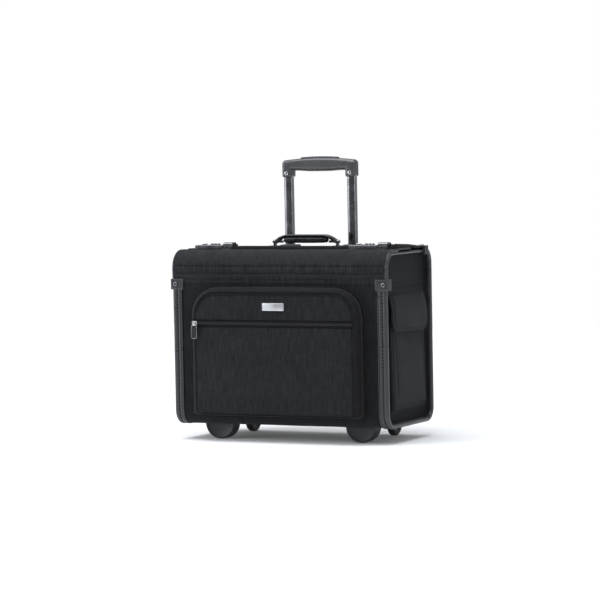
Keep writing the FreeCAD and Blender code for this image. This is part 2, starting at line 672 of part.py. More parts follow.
def make_feet():
    """Half-round moulded feet under the front, flattened where they stand, each held by two screws."""
    y = (f"{FRONT} + foot_front", f"{FRONT} + foot_front + foot_wide")
    disc = rod("y", "foot_radius", y, ("foot_x", BASE))
    disc = soften(disc, "foot_round", lambda e: abs(e.BoundBox.YLength) < 1e-3)
    room = box(about("foot_x", "(foot_radius + 1)"), (f"{y[0]} - 1", f"{y[1]} + 1"), ("0", f"{BASE} + skin"))
    node(pair(shared(disc, room)), "front_feet")

    board_top = f"{BASE} + skin + board"
    screws = []
    for side in (-1, 1):
        spot = (f"foot_x + {side} * foot_screw_gap", f"{FRONT} + foot_front + foot_wide / 2")
        head = rod("z", "foot_screw_head", (board_top, f"{board_top} + foot_head_high"), spot)
        shank = rod("z", "foot_screw", (f"{BASE} - foot_screw_long", f"{board_top} + 1"), spot)
        screws.append(joined(head, shank))
    node(group(*screws, *[mirrored(s) for s in screws]), "foot_screws")


def make_wheels():
    """Rear wheels in moulded housings let into the bottom rear edge."""
    axle_y, axle_z = f"{FRONT} + wheel_y", "wheel_radius"
    well = "wheel_radius + well_play"
    inside = about("wheel_x", "(wheel_wide / 2 + wheel_side_play)")
    hollow = rod("x", well, inside, (axle_y, axle_z))
    mouth = box(inside, (f"{axle_y} - {well}", f"{REAR} + 1"), (f"{BASE} - housing_low - 1", axle_z))
    bore = rod("x", "axle_radius", about("wheel_x", "(housing_half + 1)"), (axle_y, axle_z))
    housing = shared(housing_block(), rear_outline())
    node(pair(cut(housing, hollow, mouth, bore)), "wheel_housings")

    node(pair(rod("x", "axle_radius", about("wheel_x", "housing_half"), (axle_y, axle_z))), "wheel_axles")

    ring = rod("x", "wheel_radius", about("wheel_x", "wheel_wide / 2"), (axle_y, axle_z))
    ring = soften(ring, "tyre_round", lambda e: e.BoundBox.XLength < 1e-3)
    both_sides(cut(ring, rod("x", "hub_radius", about("wheel_x", "wheel_wide"), (axle_y, axle_z))), "tyre")

    span = about("wheel_x", "hub_wide / 2")
    disc = rod("x", "hub_radius", span, (axle_y, axle_z))
    dishes = []
    for face in span:
        dish = rod("x", "hub_radius - hub_rim", about(face, "hub_dish"), (axle_y, axle_z))
        boss = rod("x", "axle_radius + hub_boss", about(face, "hub_dish"), (axle_y, axle_z))
        dishes.append(cut(dish, boss))
    hole = rod("x", "axle_radius + axle_play", about("wheel_x", "hub_wide"), (axle_y, axle_z))
    both_sides(cut(disc, hole, *dishes), "hub")


def rear_outline():
    """A block behind the wheel housing's front whose rear bottom edge is rounded like the wrap's."""
    low, high = f"{BASE} - housing_low", f"{BASE} + housing_high"
    start, end = f"{FRONT} + housing_front", f"{REAR} - skin"
    corners = [(start, low), (end, low), (end, high), (start, high)]
    block = prism("YZ", corners, about("wheel_x", "2 * housing_half"))
    return round_corner(block, "YZ", "housing_corner", corners[1])


# Trolley handle -------------------------------------------------------------------------------------------

def make_trolley_tubes():
    """Three nested pairs of tubes, the outer pair fixed in the case, with plugs, base bracket and bezels."""
    middle = f"{FRONT} + tube_y"
    for stage in ("outer", "mid", "inner"):
        length = (f"{BASE} + {stage}_low", f"{BASE} + {stage}_high")
        node(pair(tube(f"{stage}_long", f"{stage}_deep", length)), f"{stage}_tubes")
    for stage in ("mid", "inner"):
        end = f"({BASE} + {stage}_low)"
        lip = tube(f"{stage}_long", f"{stage}_deep", (f"{end} - plug_lip", end), None)
        stem = box(about("tube_x", f"({stage}_long / 2 - tube_round)"),
                   about(middle, f"({stage}_deep / 2 - tube_round)"), (f"{end} - 1", f"{end} + plug_stem"))
        passage = rod("z", "rod_radius + rod_play", about(end, "2 * plug_stem"), ("tube_x", middle))
        node(pair(cut(joined(lip, stem), passage)), f"{stage}_plugs")

    bar = box(about("0", "(tube_x + outer_long / 2 + base_wall)"),
              (f"{middle} - outer_deep / 2 - base_wall", REAR), (BASE, f"{BASE} + outer_low + base_socket"))
    high = f"{BASE} + outer_low + 2 * base_socket"
    socket = tube("outer_long", "outer_deep", (f"{BASE} + outer_low", high), None)
    trench = box(about("0", "(tube_x - outer_long / 2 - base_wall)"),
                 (f"{middle} - outer_deep", REAR), (f"{BASE} + outer_low + base_wall / 2", high))
    bar = shared(bar, case_room("(skin + board)", ("-case_width / 4", "case_width / 4")))
    node(cut(bar, socket, mirrored(socket), trench), "trolley_base")

    make_bezels()


def bezel_slot(z):
    """The hole in the rear top strip that a bezel's neck fills, from low to high."""
    return tube("(mid_long + 2 * bezel_wall)", "(mid_deep + 2 * bezel_wall)", z, None)


def make_bezels():
    """Moulded bezels that sit on the rounded rear top edge and guide the middle tubes."""
    top = f"{BASE} + bezel_top"
    low = f"{BASE} + outer_high + bezel_gap"
    depth = (f"{FRONT} + bezel_front", f"{FRONT} + bezel_rear")
    flange = box(about("tube_x", "bezel_half"), depth, (low, top))
    below = case_room("skin", about("tube_x", "2 * bezel_half"))
    flange = cut(soften(flange, "bezel_round", level("ZMin", top)), below)
    neck = bezel_slot((low, f"{top} - bezel_round"))
    hole = tube("(mid_long + 2 * bezel_play)", "(mid_deep + 2 * bezel_play)",
                (f"{BASE} + outer_high", f"{top} + 1"), None)
    node(pair(cut(joined(flange, neck), hole)), "tube_bezels")


def make_grip():
    """The grip bar and the two sockets that hold it on the inner tubes."""
    middle = f"{FRONT} + tube_y"
    depth = about(middle, "grip_deep / 2")
    low, top, floor = f"{BASE} + grip_low", f"{BASE} + grip_top", f"({BASE} + socket_top - button_well)"
    bar = box(about("0", "grip_half"), depth, (low, top))
    bar = soften(bar, "grip_round", lambda e: e.BoundBox.XLength > size("grip_half") or level("ZMin", top)(e))
    ends = box(("socket_inside", "grip_half + 1"), about(middle, "grip_deep"),
               (f"{low} - 1", f"{BASE} + socket_top"))
    slot = box(about("0", "(button_half + button_play)"), about(middle, "(button_deep / 2 + button_play)"),
               (floor, f"{top} + 1"))
    channel = box(about("0", "(tube_x + yoke_end + 2)"), about(middle, "(yoke_half + button_play)"),
                  (floor, f"{floor} + 2 * yoke_tall + button_well"))
    node(cut(bar, ends, mirrored(ends), slot, channel), "grip_shell")

    block = box(("socket_inside", "grip_half"), depth, (f"{BASE} + socket_low", f"{BASE} + socket_top"))
    block = soften(block, "socket_round", lambda e: e.BoundBox.ZLength > size("socket_round"))
    tube_end = f"{BASE} + inner_high"
    pocket = tube("inner_long", "inner_deep", (f"{BASE} + socket_low - 1", tube_end), None)
    passage = rod("z", "rod_radius + rod_play", (f"{tube_end} - 1", f"{tube_end} + button_well"),
                  ("tube_x", middle))
    well = box(("socket_inside - 1", "tube_x + yoke_end + 2"), about(middle, "(yoke_half + button_play)"),
               (f"{tube_end} + 1", f"{tube_end} + button_well"))
    node(pair(cut(block, pocket, passage, well)), "grip_brackets")

    face = f"{middle} - grip_deep / 2"
    screw = rod("y", "grip_screw", (f"{face} - screw_head", face), ("tube_x", f"{BASE} + screw_height"))
    node(pair(soften(screw, "screw_head * 0.7", level("YMax", f"{face} - screw_head"))), "grip_screws")


def make_release():
    """The release button with its yoke, the two rods that it pushes down the tubes, and its springs."""
    middle = f"{FRONT} + tube_y"
    low, top = f"{BASE} + socket_top + button_rise", f"{BASE} + button_top"
    cap = box(about("0", "button_half"), about(middle, "button_deep / 2"), (low, top))
    cap = soften(cap, "button_round", level("ZMin", top))
    yoke = box(about("0", "(tube_x + yoke_end)"), about(middle, "yoke_half"), (low, f"{low} + yoke_tall"))
    node(joined(cap, yoke), "release_button_cap")
    push = rod("z", "rod_radius", (f"{BASE} + inner_low + plug_stem + rod_gap", low), ("tube_x", middle))
    node(pair(push), "push_rods")
    node(pair(button_spring(middle)), "button_springs")


def button_spring(middle):
    """A coil spring between the grip's floor and the button's yoke."""
    body = doc.addObject("PartDesign::Body", "spring")
    wire = body.newObject("Sketcher::SketchObject", "wire")
    wire.AttachmentSupport = [(datum(body, "XZ_Plane"), "")]
    wire.MapMode = "FlatFace"
    centre = FreeCAD.Vector(size("spring_radius"), 0, 0)
    wire.addGeometry(Part.Circle(centre, FreeCAD.Vector(0, 0, 1), size("spring_wire")), False)
    wire.addConstraint(Sketcher.Constraint("PointOnObject", 0, 3, -1))
    for kind, alias in ((("DistanceX", -1, 1, 0, 3), "spring_radius"), (("Radius", 0), "spring_wire")):
        index = wire.addConstraint(Sketcher.Constraint(*kind, size(alias)))
        wire.setExpression(f"Constraints[{index}]", bound(alias))
    coil = body.newObject("PartDesign::AdditiveHelix", "coil")
    coil.Profile = wire
    coil.ReferenceAxis = (datum(body, "Z_Axis"), [""])
    coil.Mode = "pitch-height-angle"
    rise = "(button_well + button_rise - 2 * spring_wire)"
    bind(coil, Pitch=f"{rise} / spring_turns", Height=rise)
    body.Tip = coil
    floor = f"{BASE} + socket_top - button_well + spring_wire"
    return bind(body, Placement__Base__x="spring_x", Placement__Base__y=middle, Placement__Base__z=floor)


# Front flap and lid ---------------------------------------------------------------------------------------

def flap_band(outer, inner, span):
    """The front flap's section, up the front and back over the top, between two insets."""
    low, high, reach = f"{BASE} + flap_low", f"{BASE} + flap_top", f"{FRONT} + flap_reach"
    corners = [
        (f"{FRONT} + {outer}", low),
        (f"{FRONT} + {outer}", f"{high} - {outer}"),
        (reach, f"{high} - {outer}"),
        (reach, f"{high} - {inner}"),
        (f"{FRONT} + {inner}", f"{high} - {inner}"),
        (f"{FRONT} + {inner}", low),
    ]
    band = round_corner(prism("YZ", corners, span), "YZ", f"flap_corner - {outer}", corners[1])
    return round_corner(band, "YZ", f"flap_corner - {inner}", corners[4])


def make_front_flap():
    """The flap that closes the front of the top, with its end edgings and the locks' strikes."""
    inner = "(flap_wall - flap_skin)"
    node(flap_band("flap_skin", inner, (f"-({HALF} - flap_skin)", f"{HALF} - flap_skin")), "front_flap_board")
    block = flap_band("0", "flap_wall", (f"{HALF} - flap_edging", HALF))
    slot = flap_band("flap_skin", inner, (f"{HALF} - flap_edging - 1", f"{HALF} - flap_skin"))
    node(pair(cut(block, slot)), "flap_trims")
    strikes = []
    for start in ("lock_left_x", "lock_right_x"):
        x = (f"{start} + latch_start", f"{start} + latch_start + latch_long")
        edge = f"{FRONT} + flap_reach"
        top = f"{BASE} + flap_top - flap_skin"
        foot = box(x, (f"{edge} - 9", edge), (top, f"{top} + 1.3"))
        strikes.append(joined(foot, box(x, (f"{edge} - 1.6", edge), (top, f"{top} + 4"))))
    node(group(*strikes), "lock_strikes")


def lock_room(start):
    """The notch in the lid's cover that a lock sits in, deeper under its dials."""
    notch = box((f"{start} - lock_play", f"{start} + latch_base + lock_play"),
                (f"{FRONT} + lid_front - 1", f"{FRONT} + lid_front + lock_deep + lock_behind"),
                (f"{BASE} + lock_floor", f"{BASE} + lid_top + 1"))
    dip = box((f"{start} + dial_first - dial_pitch", f"{start} + dial_first + {DIALS} * dial_pitch"),
              (f"{FRONT} + dial_depth - dial_radius - 1", f"{FRONT} + dial_depth + dial_radius + 1"),
              (f"{BASE} + lock_floor - dial_room", f"{BASE} + lock_floor + 1"))
    return joined(notch, dip)


def make_lid():
    """The lid: a board and the padded cover on it, notched for the locks."""
    x = ("-lid_width / 2", "lid_width / 2")
    y = (f"{FRONT} + lid_front", f"{FRONT} + lid_rear")
    board_x = about("0", "lid_board_width / 2")
    node(box(board_x, y, (f"{BASE} + lid_floor", f"{BASE} + lid_seam")), "lid_board")
    seam = f"{BASE} + lid_seam"
    outline = [(y[0], seam), (y[1], seam), (y[1], f"{BASE} + lid_back"), (y[0], f"{BASE} + lid_top")]
    above = size(seam) + 1
    cover = soften(prism("YZ", outline, x), "lid_edge", lambda e: e.BoundBox.ZMin > above)
    seat = bracket_plate("0")
    node(cut(cover, lock_room("lock_left_x"), lock_room("lock_right_x"), seat, mirrored(seat)), "lid_cover")


# Locks ----------------------------------------------------------------------------------------------------

def lock_shell(start):
    """The lock's hollow body with its dial and slider slots, and the base plate and ears of its latch."""
    front = f"{FRONT} + lid_front"
    low, high = f"{BASE} + lock_floor", f"{BASE} + lock_top"
    end = f"({start} + lock_long)"
    outside = box((start, end), (front, f"{front} + lock_deep"), (low, high))
    outside = soften(outside, "lock_round", level("ZMin", high))
    hollow = box((f"{start} + lock_wall", f"{end} - lock_wall"),
                 (f"{front} + lock_wall", f"{front} + lock_deep - lock_wall"),
                 (f"{low} - 1", f"{high} - lock_wall"))
    floor = box((f"{end} - lock_wall", f"{start} + latch_base"),
                (front, f"{front} + lock_deep + latch_wall * 2"), (low, f"{low} + latch_wall * 2 / 3"))
    pin = (f"{FRONT} + latch_pin_depth", f"{BASE} + latch_pin_height")
    lever = f"{start} + latch_start"
    ears = []
    for x in ((end, f"{lever} - pull_gap"), (f"{lever} + latch_long + pull_gap", f"{start} + latch_base")):
        ears.append(box(x, about(pin[0], "ear_half"), (low, f"{pin[1]} + ear_half")))
    bore = rod("x", "latch_pin_radius", (f"{end} - lock_wall", f"{start} + latch_base + 1"), pin)
    return cut(joined(cut(outside, hollow), floor, *ears), bore, *lock_slots(start, high))


def lock_slots(start, high):
    """The slots in the lock's top for its three dials and its slider's stem."""
    slots = []
    deep = about(f"{FRONT} + dial_depth", "(dial_radius + dial_play)")
    for k in range(DIALS):
        x = f"{start} + dial_first + {k} * dial_pitch"
        slots.append(box(about(x, "(dial_wide / 2 + dial_play)"), deep, about(high, "lock_wall * 4")))
    x = f"{start} + thumb_start"
    slots.append(box((f"{x} + stem_inset - dial_play",
                      f"{x} + thumb_long + thumb_travel - stem_inset + dial_play"),
                     about(f"{FRONT} + dial_depth", "(stem_half + dial_play)"), about(high, "lock_wall * 2")))
    return slots


def dial(start, k):
    """One number dial: a disc with a bore."""
    centre = (f"{FRONT} + dial_depth", f"{BASE} + dial_height")
    x = f"{start} + dial_first + {k} * dial_pitch"
    disc = rod("x", "dial_radius", about(x, "dial_wide / 2"), centre)
    disc = soften(disc, "dial_round", lambda e: e.BoundBox.XLength < 1e-3)
    return cut(disc, rod("x", "spindle_radius + axle_play", about(x, "dial_wide"), centre))


def lock_slider(start):
    """The thumb button, its stem through the slot and its foot plate inside."""
    y = f"{FRONT} + dial_depth"
    top, inside = f"{BASE} + lock_top", f"{BASE} + lock_top - lock_wall"
    x = (f"{start} + thumb_start", f"{start} + thumb_start + thumb_long")
    knob_top = f"{top} + thumb_tall"
    knob = box(x, about(y, "thumb_half"), (f"{top} + pull_gap", knob_top))
    knob = soften(knob, "thumb_round", level("ZMin", knob_top))
    stem = box((f"{x[0]} + stem_inset", f"{x[1]} - stem_inset"), about(y, "stem_half"),
               (f"{inside} - 2 * pull_gap", f"{top} + 2 * pull_gap"))
    foot = box(x, about(y, "(thumb_half + stem_inset / 3)"),
               (f"{inside} - 4 * pull_gap", f"{inside} - pull_gap"))
    return joined(knob, stem, foot)


def latch(start):
    """The lever at the lock's right end, rounded on top and bored for its pin."""
    x = (f"{start} + latch_start", f"{start} + latch_start + latch_long")
    pin_y = f"{FRONT} + latch_pin_depth"
    top = f"{BASE} + latch_top"
    depth = (f"{FRONT} + lid_front + dial_play", f"{pin_y} + latch_heel")
    lever = box(x, depth, (f"{BASE} + latch_low", top))
    length = size("latch_long")
    lever = soften(lever, "latch_round", lambda e: e.BoundBox.XLength > length / 2 and level("ZMin", top)(e))
    bore = rod("x", "latch_pin_radius + axle_play", (f"{x[0]} - 1", f"{x[1]} + 1"),
               (pin_y, f"{BASE} + latch_pin_height"))
    return cut(lever, bore)


def make_locks():
    """Both locks, which are alike and not mirrored."""
    starts = {"left": "lock_left_x", "right": "lock_right_x"}
    node(group(*[lock_shell(start) for start in starts.values()]), "lock_bodies")
    spindles, pins = [], []
    for start in starts.values():
        first = f"{start} + dial_first - dial_pitch / 2"
        spindles.append(rod("x", "spindle_radius", (first, f"{first} + {DIALS} * dial_pitch"),
                            (f"{FRONT} + dial_depth", f"{BASE} + dial_height")))
        pins.append(rod("x", "latch_pin_radius", (f"{start} + lock_long", f"{start} + latch_base"),
                        (f"{FRONT} + latch_pin_depth", f"{BASE} + latch_pin_height")))
    node(group(*spindles), "dial_spindles")
    node(group(*pins), "latch_pins")
    for side, start in starts.items():
        node(lock_slider(start), f"lock_slider_{side}")
        node(latch(start), f"latch_{side}")
        for k in range(DIALS):
            node(dial(start, k), f"dial_{side}_{k + 1}")


# Carry handle ---------------------------------------------------------------------------------------------

def bracket_plate(high):
    """A handle bracket's plate, or for a height of 0 the seat cut for it in the lid's cover."""
    floor = f"{BASE} + plate_seat"
    top = f"{floor} + {high}" if high != "0" else f"{BASE} + lid_top"
    plate = box(("lug_start - plate_inside", "lug_end + plate_outside"),
                about(f"{FRONT} + handle_y", "plate_half"), (floor, top))
    return soften(plate, "plate_corner", lambda e: e.BoundBox.ZLength > size("plate_wall") - 0.1)


def make_carry_handle():
    """Brackets on the lid, and the padded grip that swings between them on two pins."""
    middle = f"{FRONT} + handle_y"
    pivot = f"{BASE} + handle_pivot"
    lug_x = ("lug_start", "lug_end")
    lug = joined(rod("x", "eye_radius", lug_x, (middle, pivot)),
                 box(lug_x, about(middle, "eye_radius"), (f"{BASE} + plate_seat + plate_wall / 2", pivot)))
    bore = rod("x", "pin_radius + axle_play", ("lug_start - 1", "lug_end + 1"), (middle, pivot))
    node(pair(cut(joined(bracket_plate("plate_wall"), lug), bore)), "handle_brackets")

    eye_x = ("lug_start - eye_wide - slider_gap", "lug_start - slider_gap")
    eye = rod("x", "eye_radius", eye_x, (middle, pivot))
    neck = box(("handle_half - neck_sunk", f"{eye_x[1]} - eye_wide / 2"), about(middle, "neck_half"),
               about(pivot, "neck_half * 0.8"))
    pin = rod("x", "pin_radius", ("lug_start - 1", "lug_end + pull_gap"), (middle, pivot))
    head = rod("x", "eye_radius * 0.9", ("lug_end + pull_gap", "lug_end + pull_gap + plate_wall"),
               (middle, pivot))
    node(pair(joined(eye, neck, pin, head)), "handle_loops")
    make_carry_grip(middle)


def make_carry_grip(middle):
    """The padded grip: straight in the middle, falling towards both ends, rounded all round."""
    low, high = f"{BASE} + handle_low", f"{BASE} + handle_top"
    slope, end = "(handle_half - handle_slope)", "handle_half"
    outline = [
        (f"-{end}", f"{low} - handle_dip"),
        (f"-{slope}", low),
        (slope, low),
        (end, f"{low} - handle_dip"),
        (end, f"{high} - handle_fall"),
        (slope, high),
        (f"-{slope}", high),
        (f"-{end}", f"{high} - handle_fall"),
    ]
    grip = prism("XZ", outline, about(middle, "handle_deep / 2"))
    round_corner(grip, "XZ", "handle_slope", outline[5], outline[6])
    node(soften(grip, "handle_round", lambda e: e.BoundBox.YLength < 1e-3), "carry_handle_grip")


def write_parts():
    """Checks every object and writes each node's solids."""
    doc.recompute()
    bad = [f"{o.Name} {o.Label} {o.State}" for o in doc.Objects if {"Invalid", "Error"} & set(o.State)]
    if bad:
        raise RuntimeError("failed objects: " + "; ".join(bad))
    for obj in nodes:
        if obj.Shape.isNull() or not obj.Shape.isValid() or not obj.Shape.Solids:
            raise RuntimeError("bad shape: " + obj.Label)
    os.makedirs("parts", exist_ok=True)
    for obj in nodes:
        obj.Shape.exportStep(f"parts/{obj.Label}.step")
        print(f"{obj.Label}: {len(obj.Shape.Solids)} solids, {obj.Shape.Volume / 1000:.2f} cm3")


fill_sheet()
make_wrap()
make_ends()
make_edge_trims()
make_clips()
make_front_pocket()
make_zip_slider()
make_side_pockets()
make_feet()
make_wheels()
make_trolley_tubes()
make_grip()
make_release()
make_front_flap()
make_lid()
make_locks()
make_carry_handle()
write_parts()
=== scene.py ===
"""Looks of the pilot rolling flight case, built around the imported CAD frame.

Lengths are millimetres in case coordinates until a mesh is made: x from the middle,
y behind the front plane, z above the case's underside.
"""
import math

import bmesh
import bpy
import numpy as np
from mathutils import Matrix, Vector


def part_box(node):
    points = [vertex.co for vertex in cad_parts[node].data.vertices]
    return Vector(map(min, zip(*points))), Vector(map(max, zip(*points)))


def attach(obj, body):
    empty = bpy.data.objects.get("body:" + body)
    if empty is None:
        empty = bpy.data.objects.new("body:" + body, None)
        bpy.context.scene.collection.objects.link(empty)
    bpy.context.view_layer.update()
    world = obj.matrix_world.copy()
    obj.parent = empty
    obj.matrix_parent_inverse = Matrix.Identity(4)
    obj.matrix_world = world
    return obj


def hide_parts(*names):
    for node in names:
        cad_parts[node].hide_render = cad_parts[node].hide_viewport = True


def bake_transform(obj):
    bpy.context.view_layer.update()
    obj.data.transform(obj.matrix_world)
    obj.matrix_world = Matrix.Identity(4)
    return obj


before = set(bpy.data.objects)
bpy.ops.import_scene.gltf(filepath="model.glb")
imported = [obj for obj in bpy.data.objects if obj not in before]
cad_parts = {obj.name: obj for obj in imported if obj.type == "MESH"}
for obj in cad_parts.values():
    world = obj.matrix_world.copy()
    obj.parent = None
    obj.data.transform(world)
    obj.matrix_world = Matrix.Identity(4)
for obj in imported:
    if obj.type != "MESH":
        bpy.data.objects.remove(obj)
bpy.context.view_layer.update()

MM = 0.001
ORIGIN = np.array(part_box("edge_trim_left")[0]) * (0, 1, 1)
SIDES = ((-1, "left"), (1, "right"))
ACROSS, BACK, UP = np.eye(3)
rng = np.random.default_rng(7)


# ---------------------------------------------------------------- materials

def connect(tree, node, key, value):
    """Links a socket to a node's input, or sets the input to a value."""
    if isinstance(value, bpy.types.NodeSocket):
        tree.links.new(value, node.inputs[key])
    else:
        node.inputs[key].default_value = value


def add_node(tree, kind, inputs, **settings):
    made = tree.nodes.new(kind)
    for key, value in settings.items():
        setattr(made, key, value)
    for key, value in inputs.items():
        connect(tree, made, key, value)
    return made


class Shader:
    """Builds one procedural material around a Principled shader."""

    def __init__(self, name, **fixed):
        self.material = bpy.data.materials.new(name)
        self.material.use_nodes = True
        self.tree = self.material.node_tree
        self.tree.nodes.clear()
        out = self.tree.nodes.new("ShaderNodeOutputMaterial")
        self.surface = self.tree.nodes.new("ShaderNodeBsdfPrincipled")
        self.tree.links.new(self.surface.outputs[0], out.inputs[0])
        self.wear(**fixed)
        self.coords = self.tree.nodes.new("ShaderNodeTexCoord")
        self.place = self.coords.outputs["Object"]

    def wear(self, **inputs):
        """Sets or links inputs of the Principled shader."""
        for key, value in inputs.items():
            connect(self.tree, self.surface, key.replace("_", " "), value)
        return self.material

    def node(self, kind, inputs, **settings):
        return add_node(self.tree, kind, inputs, **settings)

    def math(self, operation, a, b=0.0):
        return self.node("ShaderNodeMath", {0: a, 1: b}, operation=operation).outputs[0]

    def add(self, a, b):
        return self.math("ADD", a, b)

    def times(self, a, b):
        return self.math("MULTIPLY", a, b)

    def noise(self, scale, detail, vector=None):
        return self.node("ShaderNodeTexNoise", {
            "Vector": vector or self.place, "Scale": scale, "Detail": detail}).outputs[0]

    def span(self, value, low, high, start=0.0, end=1.0):
        """Low to high as the value goes from start to end."""
        return self.node("ShaderNodeMapRange", {
            "Value": value, "From Min": start, "From Max": end,
            "To Min": low, "To Max": high}).outputs[0]

    def blend(self, factor, first, second):
        return self.node("ShaderNodeMix", {0: factor, 6: first, 7: second},
                         data_type="RGBA").outputs[2]

    def pick(self, factor, first, second):
        return self.node("ShaderNodeMix", {0: factor, 2: first, 3: second},
                         data_type="FLOAT").outputs[0]

    def bump(self, height, depth, strength):
        return self.node("ShaderNodeBump", {"Height": height, "Distance": depth * MM,
                                            "Strength": strength}).outputs[0]

    def split(self, socket):
        return self.node("ShaderNodeSeparateXYZ", {0: socket}).outputs

    def join(self, x, y, z=0.0):
        return self.node("ShaderNodeCombineXYZ", {0: x, 1: y, 2: z}).outputs[0]

    def faced(self):
        """Across and along on the side that the surface faces: x and z in front, y and z
        at the ends, x and y on top."""
        x, y, z = self.split(self.place)
        nx, ny, nz = (self.math("ABSOLUTE", n) for n in self.split(self.coords.outputs["Normal"]))
        end = self.math("GREATER_THAN", nx, self.math("MAXIMUM", ny, nz))
        top = self.math("GREATER_THAN", nz, self.math("MAXIMUM", nx, ny))
        return self.pick(end, x, y), self.pick(top, z, y)

    def edges(self, radius):
        """One along convex edges, falling to nought on the flats."""
        soft = self.node("ShaderNodeBevel", {"Radius": radius * MM}, samples=4).outputs[0]
        hard = self.node("ShaderNodeNewGeometry", {}).outputs["Normal"]
        dot = self.node("ShaderNodeVectorMath", {0: soft, 1: hard}, operation="DOT_PRODUCT")
        return self.span(dot.outputs["Value"], 1.0, 0.0, 0.72, 0.995)


def grey(value, cool=1.12):
    """A grey a little towards blue."""
    return (value / cool, value / cool ** 0.5, value * cool, 1.0)


def woven(name, dark, light, pitch=1.0, sheen=0.06, slub=0.6, rough=0.82):
    """Plain-weave polyester: threads over and under, with slubs along the warp and
    fainter picks across it."""
    s = Shader(name, Sheen_Weight=sheen, Sheen_Roughness=0.45, Specular_IOR_Level=0.2)
    across, along = s.faced()
    turn = math.pi / (pitch * MM)
    wander = s.times(s.math("SUBTRACT", s.noise(90.0, 2.0), 0.5), 0.0012)
    ways = s.add(across, wander), s.add(along, wander)
    warp, weft = (s.math("ABSOLUTE", s.math("SINE", s.times(way, turn))) for way in ways)
    over = s.node("ShaderNodeTexChecker", {"Vector": s.join(*ways),
                                           "Scale": 1.0 / (pitch * MM)}).outputs[1]
    thread = s.pick(over, warp, weft)
    slubs, picks = (s.noise(1.0, 2.0, s.join(s.times(across, a), s.times(along, b)))
                    for a, b in ((430.0, 34.0), (50.0, 420.0)))
    cloudy = s.noise(14.0, 3.0)
    tone = s.add(s.times(s.span(slubs, 0.0, 1.0, 0.36, 0.64), 0.95 * slub),
                 s.times(thread, 0.16))
    tone = s.add(tone, s.times(s.span(picks, 0.0, 1.0, 0.38, 0.62), 0.2))
    tone = s.times(tone, s.span(cloudy, 0.8, 1.15, 0.3, 0.7))
    return s.wear(
        Base_Color=s.blend(tone, dark, light),
        Roughness=s.span(thread, rough + 0.1, rough - 0.06),
        Normal=s.bump(s.add(thread, s.times(slubs, 1.2 * slub)), 0.35, 0.75))


def leather(name, dark, light, rough, coat, grain=1400.0):
    """Pebbled leatherette, a little polished where it is handled and scuffed at its edges."""
    s = Shader(name, Coat_Weight=coat, Coat_Roughness=0.35, Specular_IOR_Level=0.5)
    pebble = s.node("ShaderNodeTexVoronoi", {"Vector": s.place, "Scale": grain},
                    feature="SMOOTH_F1").outputs[0]
    fine = s.noise(grain * 2.2, 2.0)
    broad = s.noise(38.0, 4.0)
    worn = s.times(s.edges(1.2), s.span(s.noise(160.0, 3.0), 0.15, 1.0, 0.3, 0.7))
    base = s.blend(s.add(s.times(broad, 0.6), s.times(pebble, 0.5)), dark, light)
    return s.wear(
        Base_Color=s.blend(s.times(worn, 0.55), base, [4 * c for c in light[:3]] + [1]),
        Roughness=s.add(s.span(broad, rough - 0.07, rough + 0.09, 0.3, 0.7),
                        s.times(worn, 0.08)),
        Normal=s.bump(s.add(pebble, s.times(fine, 0.35)), 0.18, 0.6))


def metal(name, colour, rough, mottle, metallic=1.0, brushed=0.0, worn=0.3):
    """Plated or painted metal: fine brushing or mottling, smudges and rubbed edges."""
    s = Shader(name, Coat_Roughness=0.12, Metallic=metallic)
    smudge = s.noise(60.0, 4.0)
    fleck = s.noise(900.0, 3.0)
    stretched = [s.times(part, scale) for part, scale in zip(s.split(s.place), (40, 40, 6000))]
    lines = s.noise(1.0, 2.0, s.join(*stretched))
    tone = s.span(s.add(s.times(smudge, 0.5), s.times(fleck, 0.5)),
                  1.0 - mottle, 1.0 + mottle, 0.3, 0.7)
    shade = s.node("ShaderNodeVectorMath", {0: colour[:3], 3: tone}, operation="SCALE").outputs[0]
    rub = s.times(s.edges(0.5), worn)
    return s.wear(
        Base_Color=s.blend(rub, shade, (0.75, 0.75, 0.76, 1.0)),
        Roughness=s.add(s.span(smudge, rough * 0.75, rough * 1.35, 0.3, 0.7),
                        s.times(lines, 0.12 * brushed)),
        Normal=s.bump(s.add(s.times(lines, brushed), s.times(fleck, 0.3)), 0.05, 0.35))


def moulded(name, colour, rough, texture=0.5, coat=0.0):
    """Moulded plastic or rubber: spark-eroded texture, faint flow marks, dusty scuffs."""
    s = Shader(name, Coat_Weight=coat, Coat_Roughness=0.2, Specular_IOR_Level=0.5)
    eroded = s.noise(2600.0, 3.0)
    flow = s.noise(24.0, 4.0)
    dust = s.span(s.noise(240.0, 5.0), 0.0, 1.0, 0.5, 0.75)
    lighter = [min(1.0, 2.2 * c + 0.012) for c in colour[:3]] + [1.0]
    darker = [0.75 * c for c in colour[:3]] + [1.0]
    mixed = s.add(s.times(dust, 0.12), s.times(s.edges(0.8), 0.35))
    return s.wear(
        Base_Color=s.blend(mixed, s.blend(flow, darker, colour), lighter),
        Roughness=s.add(s.span(flow, rough - 0.06, rough + 0.1, 0.3, 0.7),
                        s.times(dust, 0.08)),
        Normal=s.bump(eroded, 0.06, texture))


